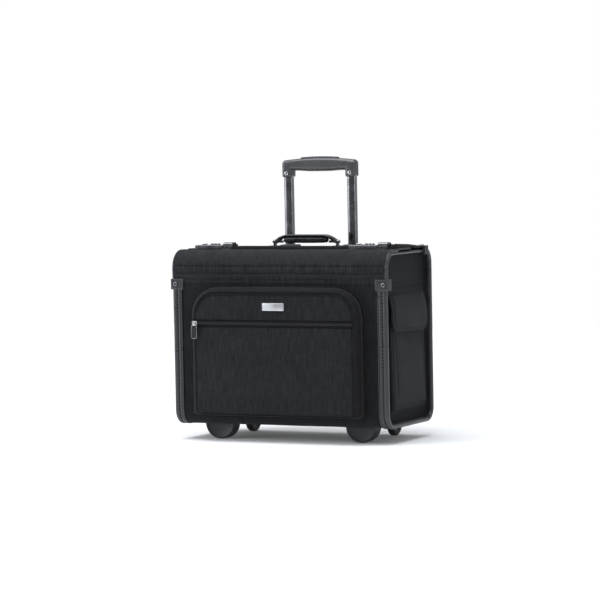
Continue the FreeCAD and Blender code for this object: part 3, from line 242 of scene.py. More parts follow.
FABRIC = woven("case_fabric", grey(0.0020), grey(0.0255))
POCKET_FABRIC = woven("pocket_fabric", grey(0.0010), grey(0.0178), sheen=0.05)
WRAP_FABRIC = woven("wrap_fabric", grey(0.0008), grey(0.0128), sheen=0.04)
# A darker copy of the case fabric for the end panels: painted shade of their recess between the rims.
END_FABRIC_PAINTED_SHADE = woven("end_fabric_painted_shade", grey(0.0010), grey(0.0105), sheen=0.04)
FLAP_FABRIC = woven("side_fabric", grey(0.0012), grey(0.0148), pitch=1.15, sheen=0.05)
BAND_FABRIC = woven("band_fabric", grey(0.002, 1.05), grey(0.0105, 1.05), pitch=0.8, slub=0.4)
GUSSET_FABRIC = woven("gusset_fabric", grey(0.0012, 1.03), grey(0.0055, 1.03), slub=0.4)
PIPING = woven("piping_fabric", grey(0.004), grey(0.014), pitch=0.8, slub=0.4, sheen=0.1)
LINING = woven("lining", grey(0.018), grey(0.035), pitch=0.5, slub=0.5, rough=0.6)
TAPE = woven("zip_tape", grey(0.002), grey(0.007), pitch=0.7, slub=0.3)
TRIM = leather("trim_leather", grey(0.009, 1.05), grey(0.028, 1.05), rough=0.33, coat=0.2)
HANDLE = leather("handle_leather", grey(0.004), grey(0.012), rough=0.34, grain=1700.0, coat=0.35)
CLIP = metal("clip_metal", grey(0.05, 1.03), 0.36, metallic=0.7, mottle=0.3, worn=0.6)
CHROME = metal("chrome", grey(0.75, 1.02), 0.12, mottle=0.05, worn=0.1)
BRACKET = metal("bracket_metal", grey(0.22, 1.02), 0.16, mottle=0.1, worn=0.5)
LOCK = metal("lock_metal", grey(0.25, 1.02), 0.22, mottle=0.15, worn=0.4)
BADGE = metal("badge_metal", grey(0.50, 1.02), 0.36, brushed=0.6, mottle=0.06, worn=0.2)
TUBE = metal("tube_metal", grey(0.38, 1.02), 0.13, brushed=0.15, mottle=0.08, worn=0.1)
STEEL = metal("steel", grey(0.5, 1.02), 0.3, mottle=0.15)
ZIP = metal("zip_metal", grey(0.5, 1.02), 0.2, mottle=0.15)
FRAME = metal("pull_metal", grey(0.3, 1.03), 0.3, mottle=0.15)
BLACK = moulded("black_plastic", grey(0.012), 0.38)
GRIP = moulded("grip_plastic", grey(0.06, 1.03), 0.26, texture=0.25, coat=0.35)
TEETH = moulded("zip_teeth", grey(0.008, 1.03), 0.55, texture=0.2)
INSERT = moulded("pull_insert", grey(0.002), 0.7, texture=0.2)
BUTTON = moulded("button_plastic", grey(0.03), 0.45)
FOOT = moulded("foot_plastic", grey(0.026), 0.5, texture=0.8)
RUBBER = moulded("tyre_rubber", grey(0.010), 0.6, texture=0.9)
HUB = moulded("hub_plastic", grey(0.02), 0.4)
DIAL = moulded("dial_plastic", grey(0.02), 0.3, coat=0.4)
DIGIT = moulded("digit_paint", grey(0.7), 0.5, texture=0.1)
THREAD = woven("thread", grey(0.016), grey(0.05), pitch=0.4, slub=0.2)
THREAD_PALE = woven("trim_thread", grey(0.05), grey(0.14), pitch=0.4, slub=0.2)
# Black thread with its shine taken away: the thread is real, and its near-black without reflection is
# painted shade of the seam groove it sinks into.
THREAD_PAINTED_SHADE = Shader("thread_painted_shade", Base_Color=grey(0.0008), Roughness=1.0,
                      Specular_IOR_Level=0.05).material


# ---------------------------------------------------------------- mesh tools

def placed(points):
    """Case millimetres to row metres."""
    return np.asarray(points, float) * MM + ORIGIN


def measured(points):
    """Row metres to case millimetres."""
    return (np.asarray(points, float) - ORIGIN) / MM


def track(x, y, z):
    """Points from three coordinates, each a number or an array."""
    return np.stack(np.broadcast_arrays(x, y, z), axis=-1).astype(float)


def read(rows, key):
    """A vector that each row holds, as one array."""
    found = np.zeros(len(rows) * 3, np.float32)
    rows.foreach_get(key, found)
    return found.reshape(-1, 3).astype(float)


def move_to(obj, points):
    obj.data.vertices.foreach_set("co", np.asarray(points, np.float32).ravel())
    obj.data.update()


def linked(name, data):
    """A new object in the scene."""
    obj = bpy.data.objects.new(name, data)
    bpy.context.scene.collection.objects.link(obj)
    return obj


def shade(obj, sharp):
    """Smooth, except where faces meet at more than sharp degrees."""
    obj.data.polygons.foreach_set("use_smooth", [True] * len(obj.data.polygons))
    obj.data.set_sharp_from_angle(angle=math.radians(sharp))


def from_bmesh(name, bm, material):
    """An object from a bmesh, which is used up."""
    mesh = bpy.data.meshes.new(name)
    bm.to_mesh(mesh)
    bm.free()
    mesh.materials.append(material)
    return linked(name, mesh)


def piece(name, points, faces, material, sharp):
    """A mesh object from case millimetres."""
    mesh = bpy.data.meshes.new(name)
    mesh.from_pydata([tuple(p) for p in placed(points)], [], [tuple(f) for f in faces])
    bm = bmesh.new()
    bm.from_mesh(mesh)
    bmesh.ops.recalc_face_normals(bm, faces=bm.faces)
    bm.to_mesh(mesh)
    bm.free()
    mesh.materials.append(material)
    obj = linked(name, mesh)
    shade(obj, sharp)
    return obj


def owned(obj, body, slot, *nodes):
    """Rides on a body and stands for CAD nodes; slot is not used."""
    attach(obj, body)
    if nodes:
        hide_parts(*nodes)
    return obj


def hinged(obj, node):
    """Padded cloth of one piece with its hinge: it stands for the node, with its placing baked into
    the mesh.
    """
    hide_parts(node)
    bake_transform(obj)


def lone(side, node):
    """The node that holds both sides of a pair, given to the left piece alone."""
    return (node,) if side == "left" else ()


def bake(obj):
    """Applies the object's modifiers to its mesh."""
    bpy.context.view_layer.update()
    found = obj.evaluated_get(bpy.context.evaluated_depsgraph_get())
    mesh = bpy.data.meshes.new_from_object(found)
    old = obj.data
    obj.modifiers.clear()
    obj.data = mesh
    mesh.name = obj.name
    bpy.data.meshes.remove(old)


def unit(v):
    v = np.asarray(v, float)
    return v / np.maximum(np.linalg.norm(v, axis=-1, keepdims=True), 1e-9)


def smooth(value, low, high):
    """From 0 at low to 1 at high."""
    t = np.clip((np.asarray(value, float) - low) / (high - low), 0, 1)
    return t * t * (3 - 2 * t)


def between(value, low, full, ending, end):
    """From 0 at low to 1 at full, and back from 1 at ending to 0 at end."""
    return smooth(value, low, full) * (1 - smooth(value, ending, end))


def dip(value, centre, width):
    """One at the centre, falling away over about a width."""
    return np.exp(-((np.asarray(value, float) - centre) / width) ** 2)


def mixed(first, second, share):
    return first * (1 - share) + second * share


def rounded_edge(distance, radius):
    """How far a rounded edge falls at a distance from the border."""
    inside = np.clip(radius - distance, 0, radius)
    return radius - np.sqrt(np.maximum(radius ** 2 - inside ** 2, 0))


def circle(count):
    """Cosines and sines of angles evenly spaced round a turn."""
    turn = np.linspace(0, 2 * math.pi, count, endpoint=False)
    return np.cos(turn), np.sin(turn)


def squared(c, s, power):
    """A circle's cosines and sines pushed out towards a square's corners."""
    return (np.sign(v) * np.abs(v) ** (2 / power) for v in (c, s))


def spread(end, near, inner, steps, count):
    """Places along x, closer together from near to end at both ends."""
    tip = np.linspace(near, end, steps)
    return np.concatenate([-tip[::-1], np.linspace(-inner, inner, count), tip])


def closing(x, start, radius, least):
    """How far a bar's rounded end is drawn in at x, from start on."""
    return radius - math.sqrt(max(radius ** 2 - max(0.0, abs(x) - start) ** 2, least))


def corner_arcs(corners, count):
    """Quarter circles of (centre, centre, radius, first angle), one after the other."""
    return np.array([(a + r * math.cos(t), b + r * math.sin(t)) for a, b, r, start in corners
                     for t in np.radians(np.linspace(start, start + 90, count))])


def route(corners, radii, step=3.0):
    """Points along a polyline with rounded corners."""
    corners = [np.array(c, float) for c in corners]
    raw = []
    for i, radius in enumerate(radii):
        here = corners[i]
        if not radius:
            raw.append(here)
            continue
        back, on = unit(corners[i - 1] - here), unit(corners[(i + 1) % len(corners)] - here)
        half = math.acos(np.clip(back @ on, -1, 1)) / 2
        centre = here + unit(back + on) * radius / math.sin(half)
        first, last = here + back * radius / math.tan(half), here + on * radius / math.tan(half)
        count = max(4, math.ceil((math.pi - 2 * half) * radius / step))
        for t in np.linspace(0, 1, count + 1):
            raw.append(centre + unit(mixed(first - centre, last - centre, t)) * radius)
    found = [raw[0]]
    for point in raw[1:]:
        start = found[-1]
        gap = np.linalg.norm(point - start)
        if gap >= 1e-6:
            count = max(1, math.ceil(gap / step))
            found += [start + (point - start) * k / count for k in range(1, count + 1)]
    return np.array(found)


def tangents(points):
    return unit(np.gradient(points, axis=0))


def lengths(points):
    """How far along the line each point is."""
    return np.concatenate([[0], np.cumsum(np.linalg.norm(np.diff(points, axis=0), axis=1))])


def at(spots, run, rows):
    """Rows read off at spots along the run."""
    return np.stack([np.interp(spots, run, column) for column in np.transpose(rows)], axis=-1)


def evened(points):
    """Points about 3 mm apart along a line."""
    run = lengths(points)
    return at(np.linspace(0, run[-1], max(4, int(run[-1] / 3.0))), run, points)


def loft(name, rings, material, sharp=38, closed=False):
    """Skin through rings of equal size, capped unless it closes on itself."""
    rings = np.asarray(rings, float)
    count, size = rings.shape[:2]
    faces = []
    for i in range(count if closed else count - 1):
        j = (i + 1) % count
        for k in range(size):
            m = (k + 1) % size
            faces.append((i * size + k, i * size + m, j * size + m, j * size + k))
    if not closed:
        faces.append(tuple(range(size - 1, -1, -1)))
        faces.append(tuple(range((count - 1) * size, count * size)))
    return piece(name, rings.reshape(-1, 3), faces, material, sharp)


def round_bar(name, points, radius, material, sides=8, closed=False):
    """A round cord along points."""
    along = tangents(points)
    guide = BACK
    if np.abs(along @ guide).max() > 0.9:
        guide = np.array((0.31, 0.17, 0.93))
    first = unit(np.cross(along, guide))
    second = np.cross(along, first)
    c, s = circle(sides)
    rings = [p + radius * (np.outer(c, a) + np.outer(s, b))
             for p, a, b in zip(points, first, second)]
    return loft(name, rings, material, 60, closed)


def rim_bar(name, corners, corner, step, y, radius, material, sides=8):
    """A round cord round four corners, given as x and z, at one depth."""
    flat = route([*corners, corners[0]], (corner,) * 4 + (0,), step)[:-1]
    return round_bar(name, track(flat[:, 0], y, flat[:, 1]), radius, material, sides, True)


def upright(low, high):
    """The four corners of an upright rectangle, as x and z."""
    return low, (high[0], low[1]), high, (low[0], high[1])


def shell(name, base, out, outer, inner, material, sharp=60):
    """A closed skin either side of a grid of points: outer above it, inner below it."""
    rows, cols = base.shape[:2]
    top = base + out * outer[..., None]
    low = base - out * inner[..., None]
    points = np.concatenate([top.reshape(-1, 3), low.reshape(-1, 3)])
    shift = rows * cols
    faces = []
    for a in (i * cols + j for i in range(rows - 1) for j in range(cols - 1)):
        faces.append((a, a + 1, a + cols + 1, a + cols))
        faces.append((a + shift, a + shift + cols, a + shift + cols + 1, a + shift + 1))
    rim = [(0, j) for j in range(cols)] + [(i, cols - 1) for i in range(1, rows)]
    rim += [(rows - 1, j) for j in range(cols - 2, -1, -1)] + [(i, 0) for i in range(rows - 2, 0, -1)]
    flat = [i * cols + j for i, j in rim]
    faces += [(a, a + shift, b + shift, b) for a, b in zip(flat, flat[1:] + flat[:1])]
    return piece(name, points, faces, material, sharp)


def lathe(name, profile, centre, material, sides):
    """A profile of (radius, along) turned about a line towards the front."""
    axis = -BACK
    first = unit(np.cross(axis, (0.3, 0.5, 0.81)))
    c, s = circle(sides)
    spin = np.outer(c, first) + np.outer(s, np.cross(axis, first))
    return loft(name, [np.asarray(centre) + r * spin + a * axis for r, a in profile], material)


def rounded_block(name, low, high, radius, material, steps):
    """A block with every edge rounded."""
    bm = bmesh.new()
    bmesh.ops.create_cube(bm, size=1.0)
    low, high = placed([low, high])
    for vertex in bm.verts:
        vertex.co = Vector((low + high) / 2 + np.array(vertex.co) * (high - low))
    bmesh.ops.bevel(bm, geom=bm.edges[:] + bm.verts[:], offset=radius * MM, segments=steps,
                    profile=0.5, affect="EDGES", clamp_overlap=True)
    obj = from_bmesh(name, bm, material)
    shade(obj, 40)
    return obj


def rounded_section(half_deep, low, high, radius, count=6):
    """A rounded rectangle: y offset and height."""
    radius = min(radius, half_deep * 0.95, (high - low) / 2 * 0.95)
    return corner_arcs(((half_deep - radius, high - radius, radius, 0),
                        (radius - half_deep, high - radius, radius, 90),
                        (radius - half_deep, low + radius, radius, 180),
                        (half_deep - radius, low + radius, radius, 270)), count)


def carve(obj, *tools):
    """Cuts tools out of obj and removes them."""
    for tool in tools:
        cutter = obj.modifiers.new("cut", "BOOLEAN")
        cutter.operation, cutter.solver, cutter.object = "DIFFERENCE", "EXACT", tool
        bake(obj)
        bpy.data.objects.remove(tool)
    shade(obj, 35)


STITCH_RINGS = ((-0.36, 0.75), (0.0, 1.0), (0.36, 0.75))
STITCH_SIDES = 6
STITCH_SUNK = 0.1
STITCH_LEAN = 0.05


def stitches(name, runs, thread=THREAD, pitch=4.2, long=3.1, radius=0.42, body="case",
             slot="case_fabric"):
    """Rows of stitches; each run is points and the way the surface faces there."""
    points, faces = [], []
    n = STITCH_SIDES
    c, s = circle(n)
    for line, facing in runs:
        facing = np.broadcast_to(facing, line.shape)
        run, ahead = lengths(line), tangents(line)
        for spot in np.arange(pitch * 0.6, run[-1] - long / 2, pitch):
            along, up = unit(at(spot, run, ahead)), unit(at(spot, run, facing))
            side = unit(np.cross(along, up))
            along = unit(along + side * rng.uniform(-STITCH_LEAN, STITCH_LEAN))
            middle = at(spot, run, line) - up * STITCH_SUNK
            start = len(points)
            points.append(middle - along * long / 2 - up * radius * 0.6)
            for t, share in STITCH_RINGS:
                points += list(middle + along * long * t
                               + share * radius * (np.outer(c, side) + np.outer(s, up)))
            points.append(middle + along * long / 2 - up * radius * 0.6)
            for k in range(n):
                m = (k + 1) % n
                low = start + 1
                faces.append((start, low + m, low + k))
                for ring in (low, low + n):
                    faces.append((ring + k, ring + m, ring + n + m, ring + n + k))
                faces.append((low + 2 * n + k, low + 2 * n + m, low + 3 * n))
    return owned(piece(name, points, faces, thread, 80), body, slot)


SWELL_TICKS = 20
SWELL_PRESSURE = 4.0


def swell(obj, held, cap, voxel):
    """Remeshes a closed shape and swells it as stuffed cloth. held gives each point's
    hold, from 0 free to 1 sewn down, and cap is the furthest a point may move."""
    remesh = obj.modifiers.new("remesh", "REMESH")
    remesh.mode = "VOXEL"
    remesh.voxel_size = voxel * MM
    bake(obj)
    start = read(obj.data.vertices, "co")
    scene = bpy.context.scene
    pins = obj.vertex_groups.new(name="held")
    for index, weight in enumerate(held(measured(start))):
        pins.add([index], float(np.clip(weight, 0, 1)), "REPLACE")
    cloth = obj.modifiers.new("cloth", "CLOTH")
    cloth.settings.quality = 5
    cloth.settings.vertex_group_mass = "held"
    cloth.settings.use_pressure = True
    cloth.settings.uniform_pressure_force = SWELL_PRESSURE
    cloth.settings.effector_weights.gravity = 0
    cloth.collision_settings.use_collision = False
    cloth.point_cache.frame_end = SWELL_TICKS
    for tick in range(1, SWELL_TICKS + 1):
        scene.frame_set(tick)
    found = obj.evaluated_get(bpy.context.evaluated_depsgraph_get())
    change = read(found.data.vertices, "co") - start
    obj.modifiers.clear()
    scene.frame_set(1)
    far = np.linalg.norm(change, axis=1, keepdims=True)
    move_to(obj, start + change * np.minimum(1, cap * MM / np.maximum(far, 1e-9)))
    finer = obj.modifiers.new("finer", "SUBSURF")
    finer.levels = finer.render_levels = 1
    bake(obj)
    shade(obj, 80)


def press_in(obj, amount):
    """Pushes points in along their normals; amount(points) is in millimetres."""
    points, facing = read(obj.data.vertices, "co"), read(obj.data.vertices, "normal")
    move_to(obj, points - facing * amount(measured(points))[:, None] * MM)


# ---------------------------------------------------------------- camera, light and floor

AZIMUTH, PITCH, ROLL = math.radians(26.11), math.radians(3.26), -0.019127
CAMERA_PLACE = (2.571, -5.243, 0.603)
FLOOR_SIZE = 6.0
AMBIENT = 0.10
LIGHT_TINT = (0.93, 0.96, 1.0)
# Direction, cosines where it is full and where it ends, and strength.
LOBES = (((-0.9, -0.42, 0.12), 0.95, 0.80, 0.95),
         ((0.0, -0.1, 1.0), 0.9, 0.2, 0.5),
         ((0.98, -0.1, 0.1), 0.93, 0.7, 0.36),
         ((0.1, 1.0, 0.25), 0.95, 0.5, 0.3))


def set_camera():
    level = Vector((-math.sin(AZIMUTH), math.cos(AZIMUTH), 0))
    right = Vector((math.cos(AZIMUTH), math.sin(AZIMUTH), 0))
    ahead = level * math.cos(PITCH) - Vector(UP) * math.sin(PITCH)
    up = Vector(UP) * math.cos(PITCH) + level * math.sin(PITCH)
    x = right * math.cos(ROLL) + up * math.sin(ROLL)
    y = up * math.cos(ROLL) - right * math.sin(ROLL)
    camera = linked("camera", bpy.data.cameras.new("camera"))
    camera.data.lens, camera.data.sensor_width = 180.0, 36.0
    camera.data.clip_end = 200.0
    turn = Matrix((x, y, -ahead)).transposed().to_4x4()
    camera.matrix_world = Matrix.Translation(CAMERA_PLACE) @ turn
    bpy.context.scene.camera = camera


def add_light(name, kind, power, aim):
    """A tinted light that shines along aim."""
    lamp = bpy.data.lights.new(name, kind)
    lamp.energy, lamp.color = power, LIGHT_TINT
    obj = linked(name, lamp)
    obj.rotation_euler = Vector(aim).to_track_quat("-Z", "Y").to_euler()
    return obj


def set_lights():
    add_light("overhead", "SUN", 3.0, (0.12, 0.22, -1.0)).data.angle = math.radians(55)
    for name, place, aim_height, size, power in (
            ("key", (-2.9, -2.0, 1.3), 0.3, (0.6, 1.5), 52),
            ("fill", (2.6, -1.9, 1.2), 0.25, (0.8, 1.4), 15)):
        obj = add_light(name, "AREA", power, Vector((0, 0, aim_height)) - Vector(place))
        obj.data.shape, obj.data.size, obj.data.size_y = "RECTANGLE", *size
        obj.location = place
        obj.visible_camera = False


def set_world():
    """White where the camera looks; a studio for everything else, bright overhead and at the
    front left, softer behind and to the right."""
    world = bpy.data.worlds.new("studio")
    bpy.context.scene.world = world
    world.use_nodes = True
    tree = world.node_tree
    tree.nodes.clear()
    way = add_node(tree, "ShaderNodeTexCoord", {}).outputs["Generated"]
    total = AMBIENT
    for aim, near, far, strength in LOBES:
        dot = add_node(tree, "ShaderNodeVectorMath", {0: way, 1: Vector(aim).normalized()},
                       operation="DOT_PRODUCT").outputs["Value"]
        lobe = add_node(tree, "ShaderNodeMapRange", {
            "Value": dot, "From Min": far, "From Max": near, "To Min": 0.0,
            "To Max": strength}, interpolation_type="SMOOTHSTEP").outputs[0]
        total = add_node(tree, "ShaderNodeMath", {0: lobe, 1: total}, operation="ADD").outputs[0]
    lit, seen = (add_node(tree, "ShaderNodeBackground", {"Color": (*colour, 1), "Strength": power})
                 for colour, power in ((LIGHT_TINT, total), ((1, 1, 1), 1.0)))
    ray = add_node(tree, "ShaderNodeLightPath", {}).outputs["Is Camera Ray"]
    both = add_node(tree, "ShaderNodeMixShader", {0: ray, 1: lit.outputs[0], 2: seen.outputs[0]})
    add_node(tree, "ShaderNodeOutputWorld", {0: both.outputs[0]})


def set_floor():
    s = Shader("floor", Roughness=0.9, Specular_IOR_Level=0.0, Emission_Strength=0.07,
               Emission_Color=(1.0, 1.0, 1.0, 1.0))
    s.wear(Base_Color=s.blend(s.noise(3.0, 2.0), grey(0.80, 1.0), grey(0.82, 1.0)))
    mesh = bpy.data.meshes.new("floor")
    half = FLOOR_SIZE / 2
    mesh.from_pydata([(-half, -half, 0), (half, -half, 0), (half, half, 0), (-half, half, 0)],
                     [], [(0, 1, 2, 3)])
    mesh.materials.append(s.material)
    linked("floor", mesh)


set_camera()
set_world()
set_lights()
set_floor()
bpy.context.scene.view_settings.view_transform = "Standard"
bpy.context.scene.view_settings.look = "None"


# ---------------------------------------------------------------- finishes of the CAD nodes

# A name that ends in * stands for the left node and the right one.
FINISHES = (
    (WRAP_FABRIC, "body_wrap"),
    (END_FABRIC_PAINTED_SHADE, "end_panel_*"),
    (LINING, "lid_board"),
    (CLIP, "trim_clips"),
    (BRACKET, "handle_brackets handle_loops clip_rivets"),
    (CHROME, "lock_slider_* grip_screws"),
    (LOCK, "lock_bodies lock_strikes latch_* latch_pins"),
    (TUBE, "outer_tubes mid_tubes inner_tubes"),
    (BLACK, "tube_bezels mid_plugs inner_plugs trolley_base wheel_housings"),
    (GRIP, "grip_shell grip_brackets"),
    (BUTTON, "release_button_cap"),
    (FOOT, "front_feet"),
    (RUBBER, "tyre_*"),
    (HUB, "hub_*"),
    (STEEL, "wheel_axles foot_screws button_springs push_rods dial_spindles"),
    (ZIP, "zip_slider_body zip_pull_tab"),
    (TAPE, "zip_tape"),
    (BADGE, "badge_plate"),
    (DIAL, " ".join(f"dial_{side}_{k}" for _, side in SIDES for k in (1, 2, 3))),
    (TRIM, "edge_trim_* end_rims flap_trims"),
    (FLAP_FABRIC, "front_flap_board lid_cover front_pocket side_pocket_* side_pocket_flap_*"),
    (HANDLE, "carry_handle_grip"),
)
for finish, names in FINISHES:
    for name in names.split():
        for each in sorted({name.replace("*", side) for _, side in SIDES}):
            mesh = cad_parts[each].data
            mesh.materials.clear()
            mesh.materials.append(finish)


# ---------------------------------------------------------------- edge trims

END_FACE = 215.0
REAR_FACE = 216.0


def side_view(points, radii):
    """A route in the y-z plane as 3-D points with its outward directions, for a route that
    runs down the front, back under the case and up the rear."""
    flat = route(points, radii)
    along = tangents(flat)
    return track(0, *flat.T), track(0, along[:, 1], -along[:, 0])


def binding(name, body, places, outward, sign, section, *nodes):
    """A leather binding: a section of (across, outward) swept along places."""
    section = np.array(section) * (sign, 1)
    rings = [p + section[:, :1] * ACROSS + section[:, 1:] * n for p, n in zip(places, outward)]
    owned(loft(name, rings, TRIM, 42), body, "trim_leather", *nodes)


# Across each trim from its inner edge to its end, and how far it stands off the wrap.
TRIM_SECTION = (
    (209.1, -1.4), (209.2, 0.2), (209.8, 0.8), (210.7, 0.8), (211.6, -0.4), (212.7, 0.0),
    (214.0, 0.7), (215.4, 0.85), (216.8, 0.5), (218.0, -0.2), (219.3, -0.8), (220.6, -0.2),
    (221.8, 0.5), (223.4, 0.95), (225.4, 0.9), (227.2, 0.4), (228.6, -0.6), (229.3, -2.0),
    (229.4, -3.6), (229.3, -5.4), (228.7, -7.1), (227.4, -8.0), (224.0, -8.2), (219.0, -8.2),
    (216.0, -7.9), (215.1, -6.8), (215.0, -2.6))
RIM_SECTION = (
    (215.1, -0.9), (215.6, -0.2), (217.0, 0.0), (220.6, 0.0), (221.6, -0.7), (222.6, 0.0),
    (226.4, 0.1), (228.3, -0.3), (229.4, -1.2), (229.7, -2.6), (229.4, -4.2),
    (228.4, -5.0), (226.0, -5.3), (218.0, -5.3), (215.5, -5.0), (215.1, -4.4))
FLAP_RIM_SECTION = (
    (226.0, 0.2), (226.6, 0.8), (227.9, 1.0), (229.4, 0.6), (230.3, -0.4), (230.5, -2.2),
    (230.2, -3.9), (229.1, -4.5), (227.6, -4.6), (226.5, -4.4), (226.1, -3.6))
# Where each binding is sewn: x, and how deep the thread lies.
TRIM_SEAM, TRIM_SEAM_DEEP = 219.3, 0.6
LIP_SEAM, LIP_SEAM_DEEP = 224.5, 8.25
RIM_SEAM, RIM_SEAM_DEEP = 221.6, 0.35
FLAP_RIM_SEAM = 227.8


def make_edge_trims():
    corners = [(0, 283), (0, 0), (REAR_FACE, 0), (REAR_FACE, 341), (175, 341)]
    places, outward = side_view(corners, (0, 28, 28, 32, 0))
    run = lengths(places)
    wobble = 0.12 * np.sin(run / 17.0) + 0.1 * np.sin(run / 41.0 + 2)
    middle = places + outward * wobble[:, None]
    for sign, side in SIDES:
        binding(f"edge_binding_{side}", "case", middle, outward, sign, TRIM_SECTION,
                f"edge_trim_{side}")
        seam = middle + sign * TRIM_SEAM * ACROSS - outward * TRIM_SEAM_DEEP
        # Thick stitches in the shine-less black thread: painted shade along the trim's seam groove.
        stitches(f"edge_stitches_{side}", [(seam, outward)], THREAD_PAINTED_SHADE, 6.4, 4.4, 1.3,
                 slot="trim_leather")
        seam = middle + sign * LIP_SEAM * ACROSS - outward * LIP_SEAM_DEEP
        stitches(f"lip_stitches_{side}", [(seam, -outward)], THREAD_PALE, 5.8, 3.8, 0.6,
                 slot="trim_leather")


def make_end_rims():
    """Leather-bound top edges of the two ends, under the flap and the lid."""
    places, outward = side_view([(175, 335.4), (4.9, 335.4), (4.9, 284)], (0, 30, 0))
    for sign, side in SIDES:
        binding(f"end_rim_{side}", "case", places, outward, sign, RIM_SECTION,
                *lone(side, "end_rims"))
        seam = places + sign * RIM_SEAM * ACROSS - outward * RIM_SEAM_DEEP
        stitches(f"end_rim_stitches_{side}", [(seam, outward)], THREAD_PALE, 5.4,
                 slot="trim_leather")


# ---------------------------------------------------------------- front flap

FLAP_RUN = [(1.2, 277.5), (0.7, 286.0), (0.7, 339.8), (55.3, 339.8)]
FLAP_BINDING_START = 285.9
FLAP_CREASE = 283.6
FLAP_FREE = 286.0
STITCH_ROWS = (296.3, 310.2)
BEYOND = 400.0


def make_front_flap():
    """The padded flap: one cloth with the wrap's top edge, creased where it hinges."""
    flat = route(FLAP_RUN, (0, 0, 34.3, 0), 2.0)
    along = tangents(flat)
    run = lengths(flat)[:, None]
    z = np.where(flat[:, :1] < 2.0, flat[:, 1:], BEYOND)
    x = (207.5 + 19.7 * smooth(z, 284.6, 286.6)) * np.linspace(-1, 1, 127)
    base = track(x, flat[:, :1], flat[:, 1:])
    out = track(0 * x, -along[:, 1:], along[:, :1])
    border = np.minimum(run[-1] - run, BEYOND)
    crown = np.sin(np.clip((run - 12) / (run[-1] - 12), 0, 1) * math.pi) ** 0.6
    waves = 0.22 * np.sin(x / 31.0 + run / 23.0) + 0.16 * np.sin(x / 13.7 - run / 37.0 + 1.3)
    outer = 0.5 + 0.9 * crown + waves - 1.4 * sum(dip(z, row, 1.7) for row in STITCH_ROWS)
    outer -= 1.2 * dip(z, FLAP_CREASE, 1.6) + 0.8 * dip(np.abs(x), 224.0, 2.0) * (z > FLAP_FREE)
    outer -= 0.6 * (z < FLAP_FREE) + rounded_edge(border, 2.0)
    inner = np.where(z < 286.5, 0.3, 0.3 + 3.3 * smooth(z, 286.5, 288.5))
    obj = shell("front_flap_padding", base, out, outer, inner - 0.5 * rounded_edge(border, 1.6),
                FABRIC)
    hinged(obj, "front_flap_board")
    runs = [(track(np.linspace(-222, 222, 140), 1.0, row), -BACK) for row in STITCH_ROWS]
    stitches("front_flap_stitches", runs, THREAD_PAINTED_SHADE, 5.6, 3.8, 0.75, "front_flap")
    keep = flat[:, 1] > FLAP_BINDING_START
    places = track(0, *flat[keep].T)
    facing = track(0, -along[keep, 1], along[keep, 0])
    for sign, side in SIDES:
        binding(f"flap_binding_{side}", "front_flap", places, facing, sign, FLAP_RIM_SECTION,
                *lone(side, "flap_trims"))
        seam = places + sign * FLAP_RIM_SEAM * ACROSS + facing
        stitches(f"flap_binding_stitches_{side}", [(seam, facing)], THREAD_PALE, 4.4,
                 body="front_flap", slot="trim_leather")


# ---------------------------------------------------------------- lid

LOCK_SPANS = ((-208.0, -123.5), (125.0, 209.5))
LOCK_SEAT, DIAL_WELL, BRACKET_SEAT = 340.7, 339.0, 342.3
LID_HALF, LID_FRONT, LID_REAR, LID_LEVEL = 225.8, 56.4, 173.8, 338.0
HINGE_LINE = 174.5


def dial_span(side):
    """From the first dial's near side to the last one's far side."""
    ends = np.array([measured(np.array(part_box(f"dial_{side}_{k}")))[:, 0] for k in (1, 2, 3)])
    return float(ends.min()), float(ends.max())


DIAL_SPANS = [dial_span(side) for _, side in SIDES]


def lid_heights(x, y):
    """Top of the lid's padded cover, with seats for the locks and the handle's brackets,
    and its lifted front right corner."""
    back = np.clip((y - 58.0) / 116.0, 0, 1)
    top = 346.6 - 5.2 * back ** 0.9 + 0.5 * np.sin(back * math.pi)
    top += 0.25 * np.sin(x / 27.0) * np.sin(y / 19.0) + 0.18 * np.sin(x / 11.0 + y / 7.0)
    top -= 4.6 * smooth(-x, 200, 214) * (1 - 0.6 * back)
    lifted = np.interp(y, (56, 115, 150, 174), (351.2, 348.2, 345.2, 341.2))
    lift = np.maximum(smooth(x, 210.5, 223), smooth(x, 186, 220) * smooth(y, 80, 90))
    top = mixed(top, lifted, lift)
    for low, high in LOCK_SPANS:
        seat = between(x, low - 2.6, low - 0.6, high + 0.6, high + 2.6)
        top = mixed(top, LOCK_SEAT, seat * (1 - smooth(y, 79.6, 82.4)))
    for low, high in DIAL_SPANS:
        well = between(x, low - 1.8, low - 0.2, high + 0.2, high + 1.8)
        top = mixed(top, DIAL_WELL, well * between(y, 57.4, 58.8, 73.6, 75.0))
    seat = between(np.abs(x), 57.0, 59.0, 79.0, 81.0) * between(y, 116.4, 118.2, 139.8, 141.6)
    return mixed(top, BRACKET_SEAT, seat)


def make_lid():
    x, y = np.meshgrid(np.linspace(-LID_HALF, LID_HALF, 302), np.linspace(LID_FRONT, LID_REAR, 66))
    low = 338.1 + 4.8 * smooth(x, 205, 214) * (1 - smooth(y, 118, 160))
    edge = np.minimum.reduce([LID_HALF - np.abs(x), y - LID_FRONT, LID_REAR - y])
    outer = lid_heights(x, y) - LID_LEVEL - 0.9 * rounded_edge(edge, 2.4) - 0.5 * dip(edge, 7.5, 1.6)
    inner = LID_LEVEL - low - 0.4 * rounded_edge(edge, 1.6)
    obj = shell("lid_padding", track(x, y, LID_LEVEL), UP, outer, inner, FLAP_FABRIC, 55)
    owned(obj, "lid", "case_fabric", "lid_cover")
    wide, front = np.linspace(-216, 216, 150), np.linspace(-119, 121, 90)
    lines = ((-218.3, np.linspace(84, 168, 40)), (218.3, np.linspace(64, 168, 40)),
             (wide, 166.3), (front, 63.9))
    runs = [(track(x, y, lid_heights(x, y) - 0.35), UP) for x, y in lines]
    stitches("lid_stitches", runs, THREAD, 4.0, radius=0.36, body="lid")
    make_lid_strip()
    make_lid_hinge()


